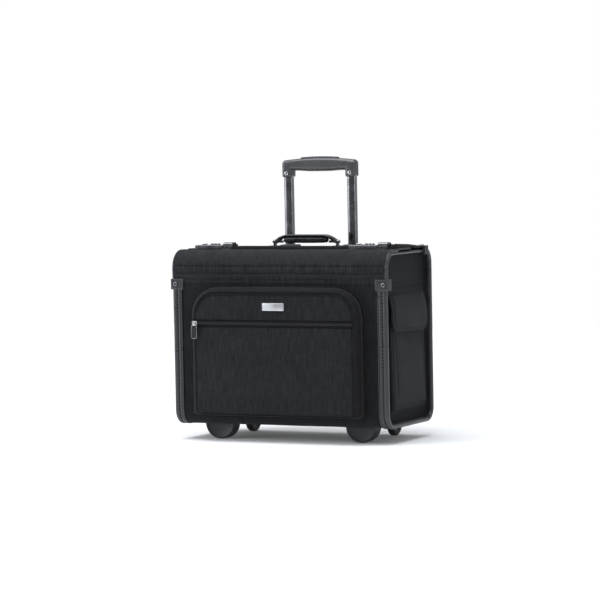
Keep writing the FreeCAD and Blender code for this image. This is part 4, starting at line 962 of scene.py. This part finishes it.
def make_lid_strip():
    """The leather edging that shows under the lid's lifted corner."""
    section = np.array(((-9.3, 0, -1.6), (-9.3, 0, 1.6), (-8.2, 0, 2.4), (6.0, 0, 2.6),
                        (8.6, 0, 2.0), (9.7, 0, 0.4), (9.6, 0, -1.2), (8.4, 0, -1.9)))
    start, end = 56.8, 117.0
    rings = []
    for y in np.linspace(start, end, 26):
        taper = max(math.sqrt(min(max((end - y) / 7.0, 0), 1)), 0.12)
        rings.append(np.array((219.6, y, 339.9)) + section * (1, 1, 0.35 + 0.65 * taper))
    owned(loft("lid_corner_strip", rings, TRIM, 42), "lid", "trim_leather")


def make_lid_hinge():
    """The cloth that joins the lid to the rear top strip."""
    x, y = np.meshgrid(np.linspace(-207.0, 207.0, 110), np.linspace(166.0, 183.5, 15))
    z = 341.35 + 0.5 * np.sin((y - 166.0) / 17.5 * math.pi) - 0.8 * dip(y, HINGE_LINE, 1.6)
    ripple = 0.12 * np.sin(x / 9.0) * dip(y, HINGE_LINE, 5.0)
    obj = shell("lid_hinge_cloth", track(x, y, z), UP, 0.35 + ripple, np.full_like(x, 0.35), FABRIC)
    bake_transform(obj)


# ---------------------------------------------------------------- front pocket

POCKET_HALF, POCKET_TOP, POCKET_LOW, POCKET_CORNER = 180.0, 270.0, 21.0, 55.0
# Each ring of the pocket, from the case to its face: how far it is drawn in, and its y.
POCKET_RINGS = ((1.5, 1.4), (0.3, 0.8), (0.0, -1.0), (0.0, -8.0), (0.0, -14.0), (0.4, -17.0),
                (1.6, -19.4), (3.8, -21.2), (7.0, -21.9), (12.0, -22.0), (20.0, -22.0))
FACE_EDGE = 12.5
ZIP_HEIGHT, ZIP_FACE = 200.5, -22.1
ZIP_LIP, ZIP_SEAM = 4.7, 6.2
BADGE_HEIGHT = 233.2
GUSSET, BAND = 2, 1


def pocket_size(inset):
    """Half width, top, bottom and corner radius of the pocket's outline drawn in by inset."""
    return (POCKET_HALF - inset, POCKET_TOP - inset, POCKET_LOW + 0.25 * inset,
            max(6.0, POCKET_CORNER - inset))


def pocket_ring(inset, y):
    """The pocket's outline at depth y, drawn in by inset."""
    half, high, low, radius = pocket_size(inset)
    small = 3.0
    flat = corner_arcs(((half - radius, high - radius, radius, 0),
                        (-half + radius, high - radius, radius, 90),
                        (-half + small, low + small, small, 180),
                        (half - small, low + small, small, 270)), 26)
    return track(flat[:, 0], y, flat[:, 1])


def open_outline(inset, y):
    """The pocket's outline from its bottom left corner up, over and down to the right."""
    return evened(np.roll(pocket_ring(inset, y), -77, axis=0)[:-27][::-1])


def outline_distance(points):
    """Distance in the x-z plane from the seam round the pocket's face, inside above 0."""
    half, high, low, radius = pocket_size(FACE_EDGE)
    x, z = np.abs(points[:, 0]), points[:, 2]
    sides = np.minimum.reduce([half - x, high - z, z - low])
    corner = (x > half - radius) & (z > high - radius)
    reach = np.hypot(x - (half - radius), z - (high - radius))
    return np.where(corner, radius - reach, sides)


def front_pocket_hold(points):
    """The pocket's seams, its zip, its badge and its back are held."""
    x, y, z = points.T
    edge = np.abs(outline_distance(points)) + 9.0 * (y > -20.5)
    badge = np.exp(-(np.maximum(np.abs(x) - 24, 0) / 16.0) ** 2
                   - (np.maximum(np.abs(z - BADGE_HEIGHT) - 8, 0) / 12.0) ** 2)
    return np.maximum.reduce([dip(edge, 0, 5.0), dip(z, ZIP_HEIGHT, 9.0), badge, (y > -3.0) * 1.0])


def front_pocket_seams(points):
    """Seams round the face and along the zip, and a slight waviness."""
    x, y, z = points.T
    edge = outline_distance(points)
    zip_seams = dip(np.abs(z - ZIP_HEIGHT), ZIP_LIP, 1.4)
    amount = 1.2 * dip(edge, 0.0, 1.9) + 1.5 * smooth(edge, -1.0, 3.0) * zip_seams
    return (amount + 0.22 * np.sin(x / 23.0 + 1.0) * np.sin(z / 31.0)) * (y < -19.5)


def make_front_pocket():
    obj = loft("front_pocket_padding", [pocket_ring(*ring) for ring in POCKET_RINGS],
               POCKET_FABRIC, 60)
    swell(obj, front_pocket_hold, 3.4, 5.0)
    press_in(obj, front_pocket_seams)
    owned(obj, "case", "case_fabric", "front_pocket")
    obj.data.materials.append(BAND_FABRIC)
    obj.data.materials.append(GUSSET_FABRIC)
    middles = measured(read(obj.data.polygons, "center"))
    beside = middles[:, 1] > -17.5
    kinds = np.where(beside, GUSSET, BAND * (outline_distance(middles) < 0))
    obj.data.polygons.foreach_set("material_index", kinds.astype(np.int32))
    rows = [(open_outline(FACE_EDGE - 2.6, -22.15), -BACK),
            (open_outline(FACE_EDGE + 2.4, -22.25), -BACK)]
    stitches("front_pocket_stitches", rows, THREAD_PAINTED_SHADE, 5.6, 3.6, 0.6)
    obj = round_bar("front_pocket_welt", open_outline(-0.9, 0.9), 0.9, PIPING)
    owned(obj, "case", "case_fabric")


# A tooth from above, as x from its middle and y.
TOOTH = ((-0.55, -22.7), (-0.55, -23.3), (-0.25, -23.55), (0.25, -23.55), (0.55, -23.3),
         (0.55, -22.7))
TOOTH_PITCH = 1.55


def make_zip():
    """Woven tape with two rows of moulded teeth, and the stitches that hold it."""
    x, rise = np.meshgrid(np.linspace(-177.0, 168.0, 120),
                          (-4.3, -3.8, -2.6, -1.9, 1.9, 2.6, 3.8, 4.3))
    lift = np.interp(np.abs(rise), (1.9, 2.6, 3.8, 4.3), (0.75, 0.45, 0.35, 0.0))
    obj = shell("zip_tape_cloth", track(x, ZIP_FACE, ZIP_HEIGHT + rise), -BACK, lift,
                np.full_like(lift, 0.6), TAPE, 40)
    owned(obj, "case", "zip_tape", "zip_tape")
    points, faces = [], []
    for k, tooth in enumerate(np.arange(-163.0, 167.0, TOOTH_PITCH)):
        start = len(points)
        for z in (-0.5, 1.9) if k % 2 else (-1.9, 0.5):
            points += [(tooth + px, py, ZIP_HEIGHT + z) for px, py in TOOTH]
        for a in range(6):
            b = (a + 1) % 6
            faces.append((start + a, start + b, start + 6 + b, start + 6 + a))
        faces.append(tuple(start + a for a in range(5, -1, -1)))
        faces.append(tuple(start + 6 + a for a in range(6)))
    owned(piece("zip_teeth", points, faces, TEETH, 30), "case", "zip_tape")
    runs = [(track(x[0], ZIP_FACE, z), -BACK)
            for z in (ZIP_HEIGHT - ZIP_SEAM, ZIP_HEIGHT + ZIP_SEAM)]
    stitches("zip_stitches", runs, THREAD_PAINTED_SHADE, 5.6, 3.8, 0.85, slot="zip_tape")


def make_zip_pull():
    """A framed pull: chrome frame round a black insert, hung from the slider's pin."""
    low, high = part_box("zip_slider_body")
    x = float(measured((low + high) / 2)[0])
    corners = [(x - 5.6, 196.2), (x - 5.6, 171.3), (x + 5.6, 171.3), (x + 5.6, 196.2)]
    obj = rim_bar("zip_pull_frame", corners, 2.2, 1.2, -27.9, 0.6, FRAME, 10)
    owned(obj, "zip_pull", "zip_metal", "zip_pull_tab")
    for name, half, y, z, corner, finish in (
            ("insert", 5.2, (-28.7, -27.1), (171.8, 193.5), 0.7, INSERT),
            ("eye", 1.5, (-28.9, -26.7), (195.6, 201.8), 1.0, CHROME)):
        obj = rounded_block(f"zip_pull_{name}", (x - half, y[0], z[0]), (x + half, y[1], z[1]),
                            corner, finish, 3)
        owned(obj, "zip_pull", "zip_metal")


def make_badge():
    """A blank brushed plate with a turned edge, held on by a dark border."""
    obj = rounded_block("badge_blank", (-23.0, -23.7, 226.0), (23.0, -22.1, 240.4), 0.55, BADGE, 3)
    owned(obj, "case", "badge_metal", "badge_plate")
    obj = rim_bar("badge_border", upright((-22.0, 227.0), (22.0, 239.4)), 1.0, 2.0, -23.65, 0.35,
                  CHROME)
    owned(obj, "case", "badge_metal")
    obj = rim_bar("badge_backing", upright((-23.8, 225.2), (23.8, 241.2)), 1.6, 2.0, -22.2, 0.7,
                  BLACK)
    owned(obj, "case", "badge_metal")


# ---------------------------------------------------------------- wrap and end panels

def make_wrap_details():
    """The reinforced band round the bottom, its seam, and the seam under the flap."""
    flat = route([(1.5, 19.5), (1.5, 1.5), (60.0, 1.5)], (0, 26.5, 0), 2.5)
    along = tangents(flat)
    x = np.linspace(-208.6, 208.6, 106)
    base = track(x, flat[:, :1], flat[:, 1:])
    out = track(0 * x, along[:, 1:], -along[:, :1])
    outer = 0.75 + 0.12 * np.sin(x / 19.0) - rounded_edge(lengths(flat)[:, None], 0.7)
    obj = shell("bottom_band", base, out, outer, np.full_like(outer, 0.2), WRAP_FABRIC)
    owned(obj, "case", "case_fabric")
    wide = np.linspace(-207, 207, 130)
    behind = REAR_FACE + 0.05
    runs = [(track(wide, 0.75, 16.6), -BACK), (track(wide, 1.45, 24.0), -BACK)]
    for x in (-205.6, 205.6):
        runs.append((track(x, 1.45, np.linspace(26, 276, 90)), -BACK))
        runs.append((track(x, behind, np.linspace(30, 322, 100)), BACK))
    runs.append((track(wide, behind, 300.0), BACK))
    stitches("wrap_stitches", runs, radius=0.38)


def make_end_seams():
    for sign, side in SIDES:
        ring = route([(14, 322), (14, 14), (202, 14), (202, 322)], (0, 20, 20, 0))
        line = track(sign * (END_FACE + 0.05), *ring.T)
        stitches(f"end_panel_stitches_{side}", [(line, sign * ACROSS)], THREAD, 4.4, radius=0.4)
        edge = route([(8.6, 331), (8.6, 8.6), (207.4, 8.6), (207.4, 331)], (0, 20, 20, 0))
        line = track(sign * (END_FACE + 0.5), *edge.T)
        owned(round_bar(f"end_panel_welt_{side}", line, 1.1, PIPING), "case", "case_fabric")


# ---------------------------------------------------------------- side pockets and their flaps

SIDE_FRONT, SIDE_REAR, SIDE_LOW, SIDE_TOP, SIDE_CORNER = 32.0, 194.0, 31.0, 249.5, 14.0
# Each ring of a side pocket: how far it is drawn in, and how far it stands off the end.
SIDE_RINGS = ((1.5, 0.0), (0.0, 1.2), (0.2, 4.2), (1.2, 7.4), (3.4, 9.6), (7.0, 10.4))


def side_outline(inset, high):
    """A U-shaped outline in the y-z plane with rounded bottom corners and a straight top."""
    radius = max(2.0, SIDE_CORNER - inset)
    front, rear, low = SIDE_FRONT + inset, SIDE_REAR - inset, SIDE_LOW + inset
    return corner_arcs(((rear - 1.5, high - 1.5, 1.5, 0), (front + 1.5, high - 1.5, 1.5, 90),
                        (front + radius, low + radius, radius, 180),
                        (rear - radius, low + radius, radius, 270)), 8)


def side_u(inset, high, x):
    """The outline without its top, at one x."""
    return evened(track(x, *np.roll(side_outline(inset, high), -15, axis=0)[:-14].T))


def side_reach(points):
    """Distance inside a side pocket's outline."""
    return np.minimum.reduce([points[:, 1] - SIDE_FRONT, SIDE_REAR - points[:, 1],
                              points[:, 2] - SIDE_LOW])


def side_pocket_hold(points):
    wall = (np.abs(points[:, 0]) < 217.5) * 1.0
    return np.maximum.reduce([wall, smooth(points[:, 2], 176, 190),
                              dip(side_reach(points), 4.5, 3.0)])


def side_pocket_seams(points):
    """The seam round the face, two upright folds and a slight sag."""
    x, y, z = points.T
    reach = side_reach(points)
    amount = 0.9 * dip(reach, 7.0, 1.8)
    for fold in (50.0, 176.0):
        amount += 1.1 * dip(y, fold + (250 - z) * 0.02, 2.4) * smooth(z, 40, 70)
    amount += 0.5 * np.sin(y / 17.0 + z / 60.0) * smooth(z, 60, 185) * smooth(reach, 6, 20)
    return amount * (np.abs(x) > 219.0)


def make_side_pocket(sign, side):
    rings = []
    for inset, proud in SIDE_RINGS:
        flat = side_outline(inset, SIDE_TOP)
        stand = proud * (1 - 0.5 * smooth(flat[:, 1], 185, 250))
        rings.append(track(sign * (214.9 + stand), *flat.T))
    obj = loft(f"side_pocket_body_{side}", rings, FLAP_FABRIC, 60)
    swell(obj, side_pocket_hold, 4.2, 4.5)
    press_in(obj, side_pocket_seams)
    owned(obj, "case", "case_fabric", f"side_pocket_{side}")
    stitches(f"side_pocket_stitches_{side}", [(side_u(7.0, 182.0, sign * 225.7), sign * ACROSS)],
             radius=0.4)
    obj = round_bar(f"side_pocket_welt_{side}", side_u(-0.8, 246, sign * 215.9), 0.95, PIPING)
    owned(obj, "case", "case_fabric")


SIDE_FLAP_RUN = ((215.6, 265.0), (217.0, 258.5), (222.5, 246.0), (227.2, 225.0), (228.6, 182.0))
SIDE_FLAP_MIDDLE, SIDE_FLAP_HALF, SIDE_FLAP_CORNER = 111.5, 84.0, 24.0
SIDE_FLAP_SEAM = 6.6
side_flap_path = route(SIDE_FLAP_RUN, (0, 20.0, 50.0, 80.0, 0), 2.0)
side_flap_drops = lengths(side_flap_path)
SIDE_FLAP_LONG = float(side_flap_drops[-1])


def side_flap_points(sign, y, drop):
    """Where the side flap is, drop along it from its seam: it hangs a little lower at the rear."""
    x, z = np.moveaxis(at(drop, side_flap_drops, side_flap_path), -1, 0)
    share = drop / SIDE_FLAP_LONG
    rear = (y - SIDE_FLAP_MIDDLE) / SIDE_FLAP_HALF
    z = z - 2.0 * rear * smooth(drop, 4, 20) - 2.0 * share * np.maximum(rear, 0)
    return track(sign * x, y - 4.0 * share, z)


def side_flap_border(y, drop):
    """Distance inside the side flap's edge."""
    sides = SIDE_FLAP_HALF - np.abs(y - SIDE_FLAP_MIDDLE)
    near = np.minimum(sides, SIDE_FLAP_LONG - drop)
    across, down = SIDE_FLAP_CORNER - sides, drop - (SIDE_FLAP_LONG - SIDE_FLAP_CORNER)
    return np.where((across > 0) & (down > 0), SIDE_FLAP_CORNER - np.hypot(across, down), near)


def make_side_flap(sign, side):
    """Padded flap hung from the end panel, one cloth with its hinge."""
    along = tangents(side_flap_path)
    radius = SIDE_FLAP_CORNER
    drop = side_flap_drops[:, None]
    near = np.clip(drop - (SIDE_FLAP_LONG - radius), 0, radius - 0.4)
    half = SIDE_FLAP_HALF - (radius - np.sqrt(radius ** 2 - near ** 2))
    y = SIDE_FLAP_MIDDLE + half * np.linspace(-1, 1, 84)
    base = side_flap_points(sign, y, drop)
    out = track(sign * -along[:, 1:], 0 * y, along[:, :1])
    border = np.clip(side_flap_border(y, drop), 0.0, 30.0)
    hang = smooth(drop, 6, 16)
    puff = smooth(border, 5.5, 16) * hang
    outer = 0.35 + 1.25 * hang + 1.9 * puff
    outer += 0.3 * puff * np.sin(y / 21.0) * np.sin(drop / 15.0 + 0.6)
    outer -= 0.95 * dip(border, SIDE_FLAP_SEAM, 1.4) * hang
    outer -= rounded_edge(border, 1.7) * np.clip(hang + 0.3, 0, 1)
    inner = 0.25 + 1.0 * hang - 0.7 * rounded_edge(border, 1.2) * hang
    inner = np.minimum(inner, np.abs(base[..., 0]) - (END_FACE + 0.05) + 10 * hang)
    obj = shell(f"side_flap_padding_{side}", base, out, np.maximum(outer, 0.12),
                np.maximum(inner, 0.1), FLAP_FABRIC)
    hinged(obj, f"side_pocket_flap_{side}")
    reach, turn = SIDE_FLAP_HALF - SIDE_FLAP_SEAM, SIDE_FLAP_CORNER - SIDE_FLAP_SEAM
    low = SIDE_FLAP_LONG - SIDE_FLAP_SEAM
    line = route([(-reach, 12.0), (-reach, low), (reach, low), (reach, 12.0)],
                 (0, turn, turn, 0), 2.5)
    seam = side_flap_points(sign, line[:, 0] + SIDE_FLAP_MIDDLE, line[:, 1])
    seam[:, 0] += sign * 0.95
    stitches(f"side_flap_stitches_{side}", [(seam, sign * ACROSS)], radius=0.4,
             body=f"side_flap_{side}")
    top = track(sign * (END_FACE + 1.25), np.linspace(31, 192, 60), 263.2)
    stitches(f"side_flap_top_stitches_{side}", [(top, sign * ACROSS)], radius=0.36)


# ---------------------------------------------------------------- carry handle

HANDLE_Y = 129.0
GRIP_REACH = 46.0
STRAP_RUN = [(-65.2, 352.4), (-58, 357.6), (-46, 364.6), (46, 364.6), (58, 357.6), (65.2, 352.4)]


def handle_shape(x):
    """Middle height, half height and half depth of the padded grip at x."""
    top = 363.4 - 0.8 * (x / GRIP_REACH) ** 2
    low = 349.6 + 0.6 * (x / GRIP_REACH) ** 2
    return (top + low) / 2, (top - low) / 2, 8.4 - 0.8 * smooth(np.abs(x), 30, GRIP_REACH)


def handle_hold(points):
    return smooth(np.abs(points[:, 0]), 36, 43)


def handle_seams(points):
    """A seam along each face, a neck at each end and fine creases."""
    x, _, z = points.T
    middle, high, _ = handle_shape(x)
    amount = 0.75 * dip(z, middle - 0.15 * high, 1.1) * (np.abs(x) < 42)
    amount += 0.7 * dip(np.abs(x), 41.5, 1.2)
    return amount + 0.12 * np.sin(x / 3.1) * dip(z, middle, 6.0)


def make_carry_handle():
    """A leather strap arched between the brackets, with a padded grip sewn under it."""
    c, s = squared(*circle(32), 2.7)
    rings = []
    for x in spread(GRIP_REACH + 2, GRIP_REACH - 2, 42, 6, 44):
        middle, high, deep = handle_shape(x)
        close = 1 - 0.5 * (max(0.0, abs(x) - GRIP_REACH + 2) / 4.0) ** 2
        rings.append(track(x, HANDLE_Y + deep * close * c, middle + high * close * s))
    obj = loft("carry_handle_padding", rings, HANDLE, 60)
    swell(obj, handle_hold, 1.2, 3.0)
    press_in(obj, handle_seams)
    owned(obj, "carry_handle", "handle_leather", "carry_handle_grip")
    arch = route(STRAP_RUN, (0, 12, 30, 30, 12, 0), 1.6)
    along = tangents(arch)
    places = track(arch[:, 0], HANDLE_Y, arch[:, 1])
    facing = track(-along[:, 1], 0, along[:, 0])
    rings = []
    for place, up in zip(places, facing):
        end = smooth(abs(place[0]), 48, 61)
        thick = 1.6 + 2.2 * end
        section = rounded_section(9.6 - 5.2 * end, -thick, thick, 1.3, 4)
        rings.append(place + section[:, :1] * BACK + section[:, 1:] * up)
    owned(loft("carry_handle_strap", rings, TRIM, 50), "carry_handle", "handle_leather")
    flat = np.abs(places[:, 0]) < 50
    runs = [(places[flat] + sign * 7.4 * BACK + facing[flat] * 1.6, facing[flat])
            for sign, _ in SIDES]
    line = np.linspace(-40, 40, 60)
    middle, high, deep = handle_shape(line)
    runs += [(track(line, HANDLE_Y + sign * (deep + 0.1), middle - 0.4 * high),
              sign * BACK - 0.1 * UP) for sign, _ in SIDES]
    stitches("carry_handle_stitches", runs, THREAD_PALE, 4.0, 3.0, 0.36, "carry_handle",
             "handle_leather")


# ---------------------------------------------------------------- trolley grip

TUBE_X, TUBE_Y = 69.0, 198.0
GRIP_ARC, GRIP_HALF, GRIP_DEEP, GRIP_TOP = 5.0, 79.9, 10.9, 515.6
BUTTON_HALF, BUTTON_DEEP, BUTTON_TOP = 40.9, 6.5, 518.0


def arc_top(x, top):
    return top - GRIP_ARC * (x / GRIP_HALF) ** 2


def tube_block(name, middle, half_wide, half_deep, low, high, corner, steps, material=BLACK):
    """A block on the trolley handle's plane."""
    return rounded_block(name, (middle - half_wide, TUBE_Y - half_deep, low),
                         (middle + half_wide, TUBE_Y + half_deep, high), corner, material, steps)


def make_trolley_grip():
    rings = []
    for x in spread(GRIP_HALF, 75.5, 73, 6, 74):
        close = closing(x, 75.0, 5.0, 0.3)
        low = 488.6 + 1.6 * float(smooth(abs(x), 18, 50)) + close
        flat = rounded_section(GRIP_DEEP - close, low, arc_top(x, GRIP_TOP) - close, 7.5)
        rings.append(track(x, TUBE_Y + flat[:, 0], flat[:, 1]))
    obj = loft("trolley_grip", rings, GRIP, 45)
    carve(obj, tube_block("slot_cutter", 0, 41.6, 7.1, 496.4, 530.0, 3.0, 3),
          tube_block("well_cutter", 0, 75.0, 5.6, 496.0, 507.5, 1.0, 2))
    owned(obj, "trolley_inner", "black_plastic", "grip_shell")
    for sign, side in SIDES:
        make_grip_socket(sign * TUBE_X, side)
    make_tubes()
    make_button()


def make_grip_socket(middle, side):
    """The square end of the grip that takes a tube, with the rim of its screw."""
    rings = []
    for z in np.concatenate([[477.6, 478.2, 479.4], np.linspace(482, 504, 8),
                             [506.5, 507.6, 508.0]]):
        wide = GRIP_DEEP + 0.1 - 1.6 * float(dip(z, 477.4, 1.0)) - 1.6 * float(dip(z, 508.2, 1.2))
        flat = rounded_section(wide, -wide, wide, 5.0, 7)
        rings.append(track(middle + flat[:, 1], TUBE_Y + flat[:, 0], z))
    block = loft(f"grip_socket_{side}", rings, GRIP, 40)
    carve(block, tube_block("socket_cutter", middle, 9.6, 7.1, 470.0, 496.9, 2.6, 3),
          tube_block("room_cutter", middle, 8.0, 5.6, 490.0, 507.0, 1.0, 2))
    owned(block, "trolley_inner", "black_plastic", *lone(side, "grip_brackets"))
    profile = (3.3, 0.0), (3.9, 0.1), (4.1, 0.7), (3.9, 1.2), (3.4, 1.3), (3.3, 0.9)
    ring = lathe(f"grip_screw_rim_{side}", profile, (middle, TUBE_Y - GRIP_DEEP - 0.1, 486.0),
                 CHROME, 32)
    owned(ring, "trolley_inner", "chrome")


def make_tubes():
    """The inner tubes, a little rounded between their corners as drawn tube is."""
    low, high = measured(np.array(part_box("inner_tubes")))
    c, s = squared(*circle(64), 3.2)
    for sign, side in SIDES:
        rings = [track(sign * TUBE_X + 9.5 * c, TUBE_Y + 7.0 * s, z)
                 for z in np.linspace(low[2], high[2], 12)]
        owned(loft(f"inner_tube_{side}", rings, TUBE, 50), "trolley_inner", "tube_metal",
              *lone(side, "inner_tubes"))


def make_button():
    """The long release button, arched with the grip, with its yoke and the ribs on top."""
    rings = []
    for x in spread(BUTTON_HALF, 38.4, 36, 5, 37):
        close = closing(x, 38.0, 3.0, 0.2)
        flat = rounded_section(BUTTON_DEEP - close, 503.0 + 0.3 * close,
                               arc_top(x, BUTTON_TOP) - close, 2.8)
        rings.append(track(x, TUBE_Y + flat[:, 0], flat[:, 1]))
    obj = loft("release_button", rings, BUTTON, 45)
    owned(obj, "release_button", "button_plastic", "release_button_cap")
    yoke = tube_block("button_yoke", 0, 73.0, 4, 502.1, 505.5, 0.8, 2, BUTTON)
    owned(yoke, "release_button", "button_plastic")
    for k, x in enumerate(range(-24, 25, 8)):
        line = track(x, TUBE_Y + np.linspace(-3.2, 3.2, 7), arc_top(x, BUTTON_TOP) - 0.1)
        rib = round_bar(f"button_rib_{k}", line, 0.5, BUTTON)
        owned(rib, "release_button", "button_plastic")


# ---------------------------------------------------------------- clips, locks, feet and wheels

def rivet_heights():
    """Heights of the front rivets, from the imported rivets."""
    points = measured(read(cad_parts["clip_rivets"].data.vertices, "co"))
    front = points[points[:, 1] < -1.7][:, 2]
    low, high = front.min(), front.max()
    if high - low < 10:
        return ((low + high) / 2,)
    return (low + 4.4, high - 4.4)


def make_clip_details():
    """Dark rings round the rivets and a rolled border round the front clips."""
    profile = (4.3, 0.0), (5.6, 0.0), (5.8, 0.35), (5.4, 0.75), (4.4, 0.8)
    for sign, side in SIDES:
        for k, z in enumerate(rivet_heights()):
            ring = lathe(f"rivet_ring_{side}_{k}", profile, (sign * 222.6, -1.5, z), BLACK, 40)
            owned(ring, "case", "clip_metal")
        corners = upright((sign * 207.2, 266.0), (sign * 231.6, 284.0))
        rim = rim_bar(f"clip_border_{side}", corners, 2.0, 1.5, -1.55, 0.5, CLIP)
        owned(rim, "case", "clip_metal")


def digit_mesh(text):
    """A figure in 3.4 mm type, 0.12 mm thick."""
    curve = bpy.data.curves.new("digit", "FONT")
    curve.body, curve.size, curve.extrude = text, 0.0034, 0.00006
    curve.align_x, curve.align_y = "CENTER", "CENTER"
    obj = linked("digit", curve)
    bpy.context.view_layer.update()
    found = obj.evaluated_get(bpy.context.evaluated_depsgraph_get())
    mesh = bpy.data.meshes.new_from_object(found)
    bpy.data.objects.remove(obj)
    return mesh


def make_dial_digits():
    """Figures 0 to 9 round each dial."""
    shapes = [digit_mesh(str(k)) for k in range(10)]
    lift = Matrix.Translation((0, 0, 0.00601))
    for side, k in ((side, k) for _, side in SIDES for k in (1, 2, 3)):
        low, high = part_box(f"dial_{side}_{k}")
        joined = bmesh.new()
        for n, shape in enumerate(shapes):
            turn = Matrix.Rotation(math.radians(36.0 * n + 10 * k), 4, "X")
            copy = shape.copy()
            copy.transform(Matrix.Translation((low + high) / 2) @ turn @ lift)
            joined.from_mesh(copy)
            bpy.data.meshes.remove(copy)
        obj = from_bmesh(f"dial_figures_{side}_{k}", joined, DIGIT)
        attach(obj, f"dial_{side}_{k}")


# Radius and y of each ring of a foot, from its back to its dished face.
FOOT_RINGS = ((31.6, 65.0), (31.85, 64.0), (31.85, 42.0), (31.6, 40.2), (30.6, 39.2), (29.0, 39.0),
              (27.6, 39.4), (27.2, 40.6), (26.6, 40.9), (12.0, 41.1))


def make_feet():
    """Half-round feet with a dished face inside a rim."""
    angle = np.radians(np.linspace(180, 360, 49))
    across = np.concatenate([np.cos(angle), np.linspace(1, -1, 13)[1:-1]])
    down = np.concatenate([np.sin(angle), np.zeros(11)])
    for sign, side in SIDES:
        rings = [track(sign * 152.0 + r * across, y, 1.4 + r * down) for r, y in FOOT_RINGS]
        owned(loft(f"foot_{side}", rings, FOOT, 40), "case", "black_plastic",
              *lone(side, "front_feet"))


def make_wheel_details():
    """Two moulded lines round each tyre."""
    c, s = circle(72)
    for _, side in SIDES:
        low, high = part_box(f"tyre_{side}")
        x, y, z = measured((low + high) / 2)
        for k, across in enumerate((-4.0, 4.0)):
            line = track(x + across, y + 24.5 * c, z + 24.5 * s)
            ring = round_bar(f"tyre_rib_{side}_{k}", line, 0.35, RUBBER, 6, True)
            owned(ring, f"wheel_{side}", "tyre_rubber")


make_edge_trims()
make_end_rims()
make_front_flap()
make_lid()
make_front_pocket()
make_zip()
make_zip_pull()
make_badge()
make_wrap_details()
make_end_seams()
for sign, side in SIDES:
    make_side_pocket(sign, side)
    make_side_flap(sign, side)
make_carry_handle()
make_trolley_grip()
make_clip_details()
make_dial_digits()
make_feet()
make_wheel_details()
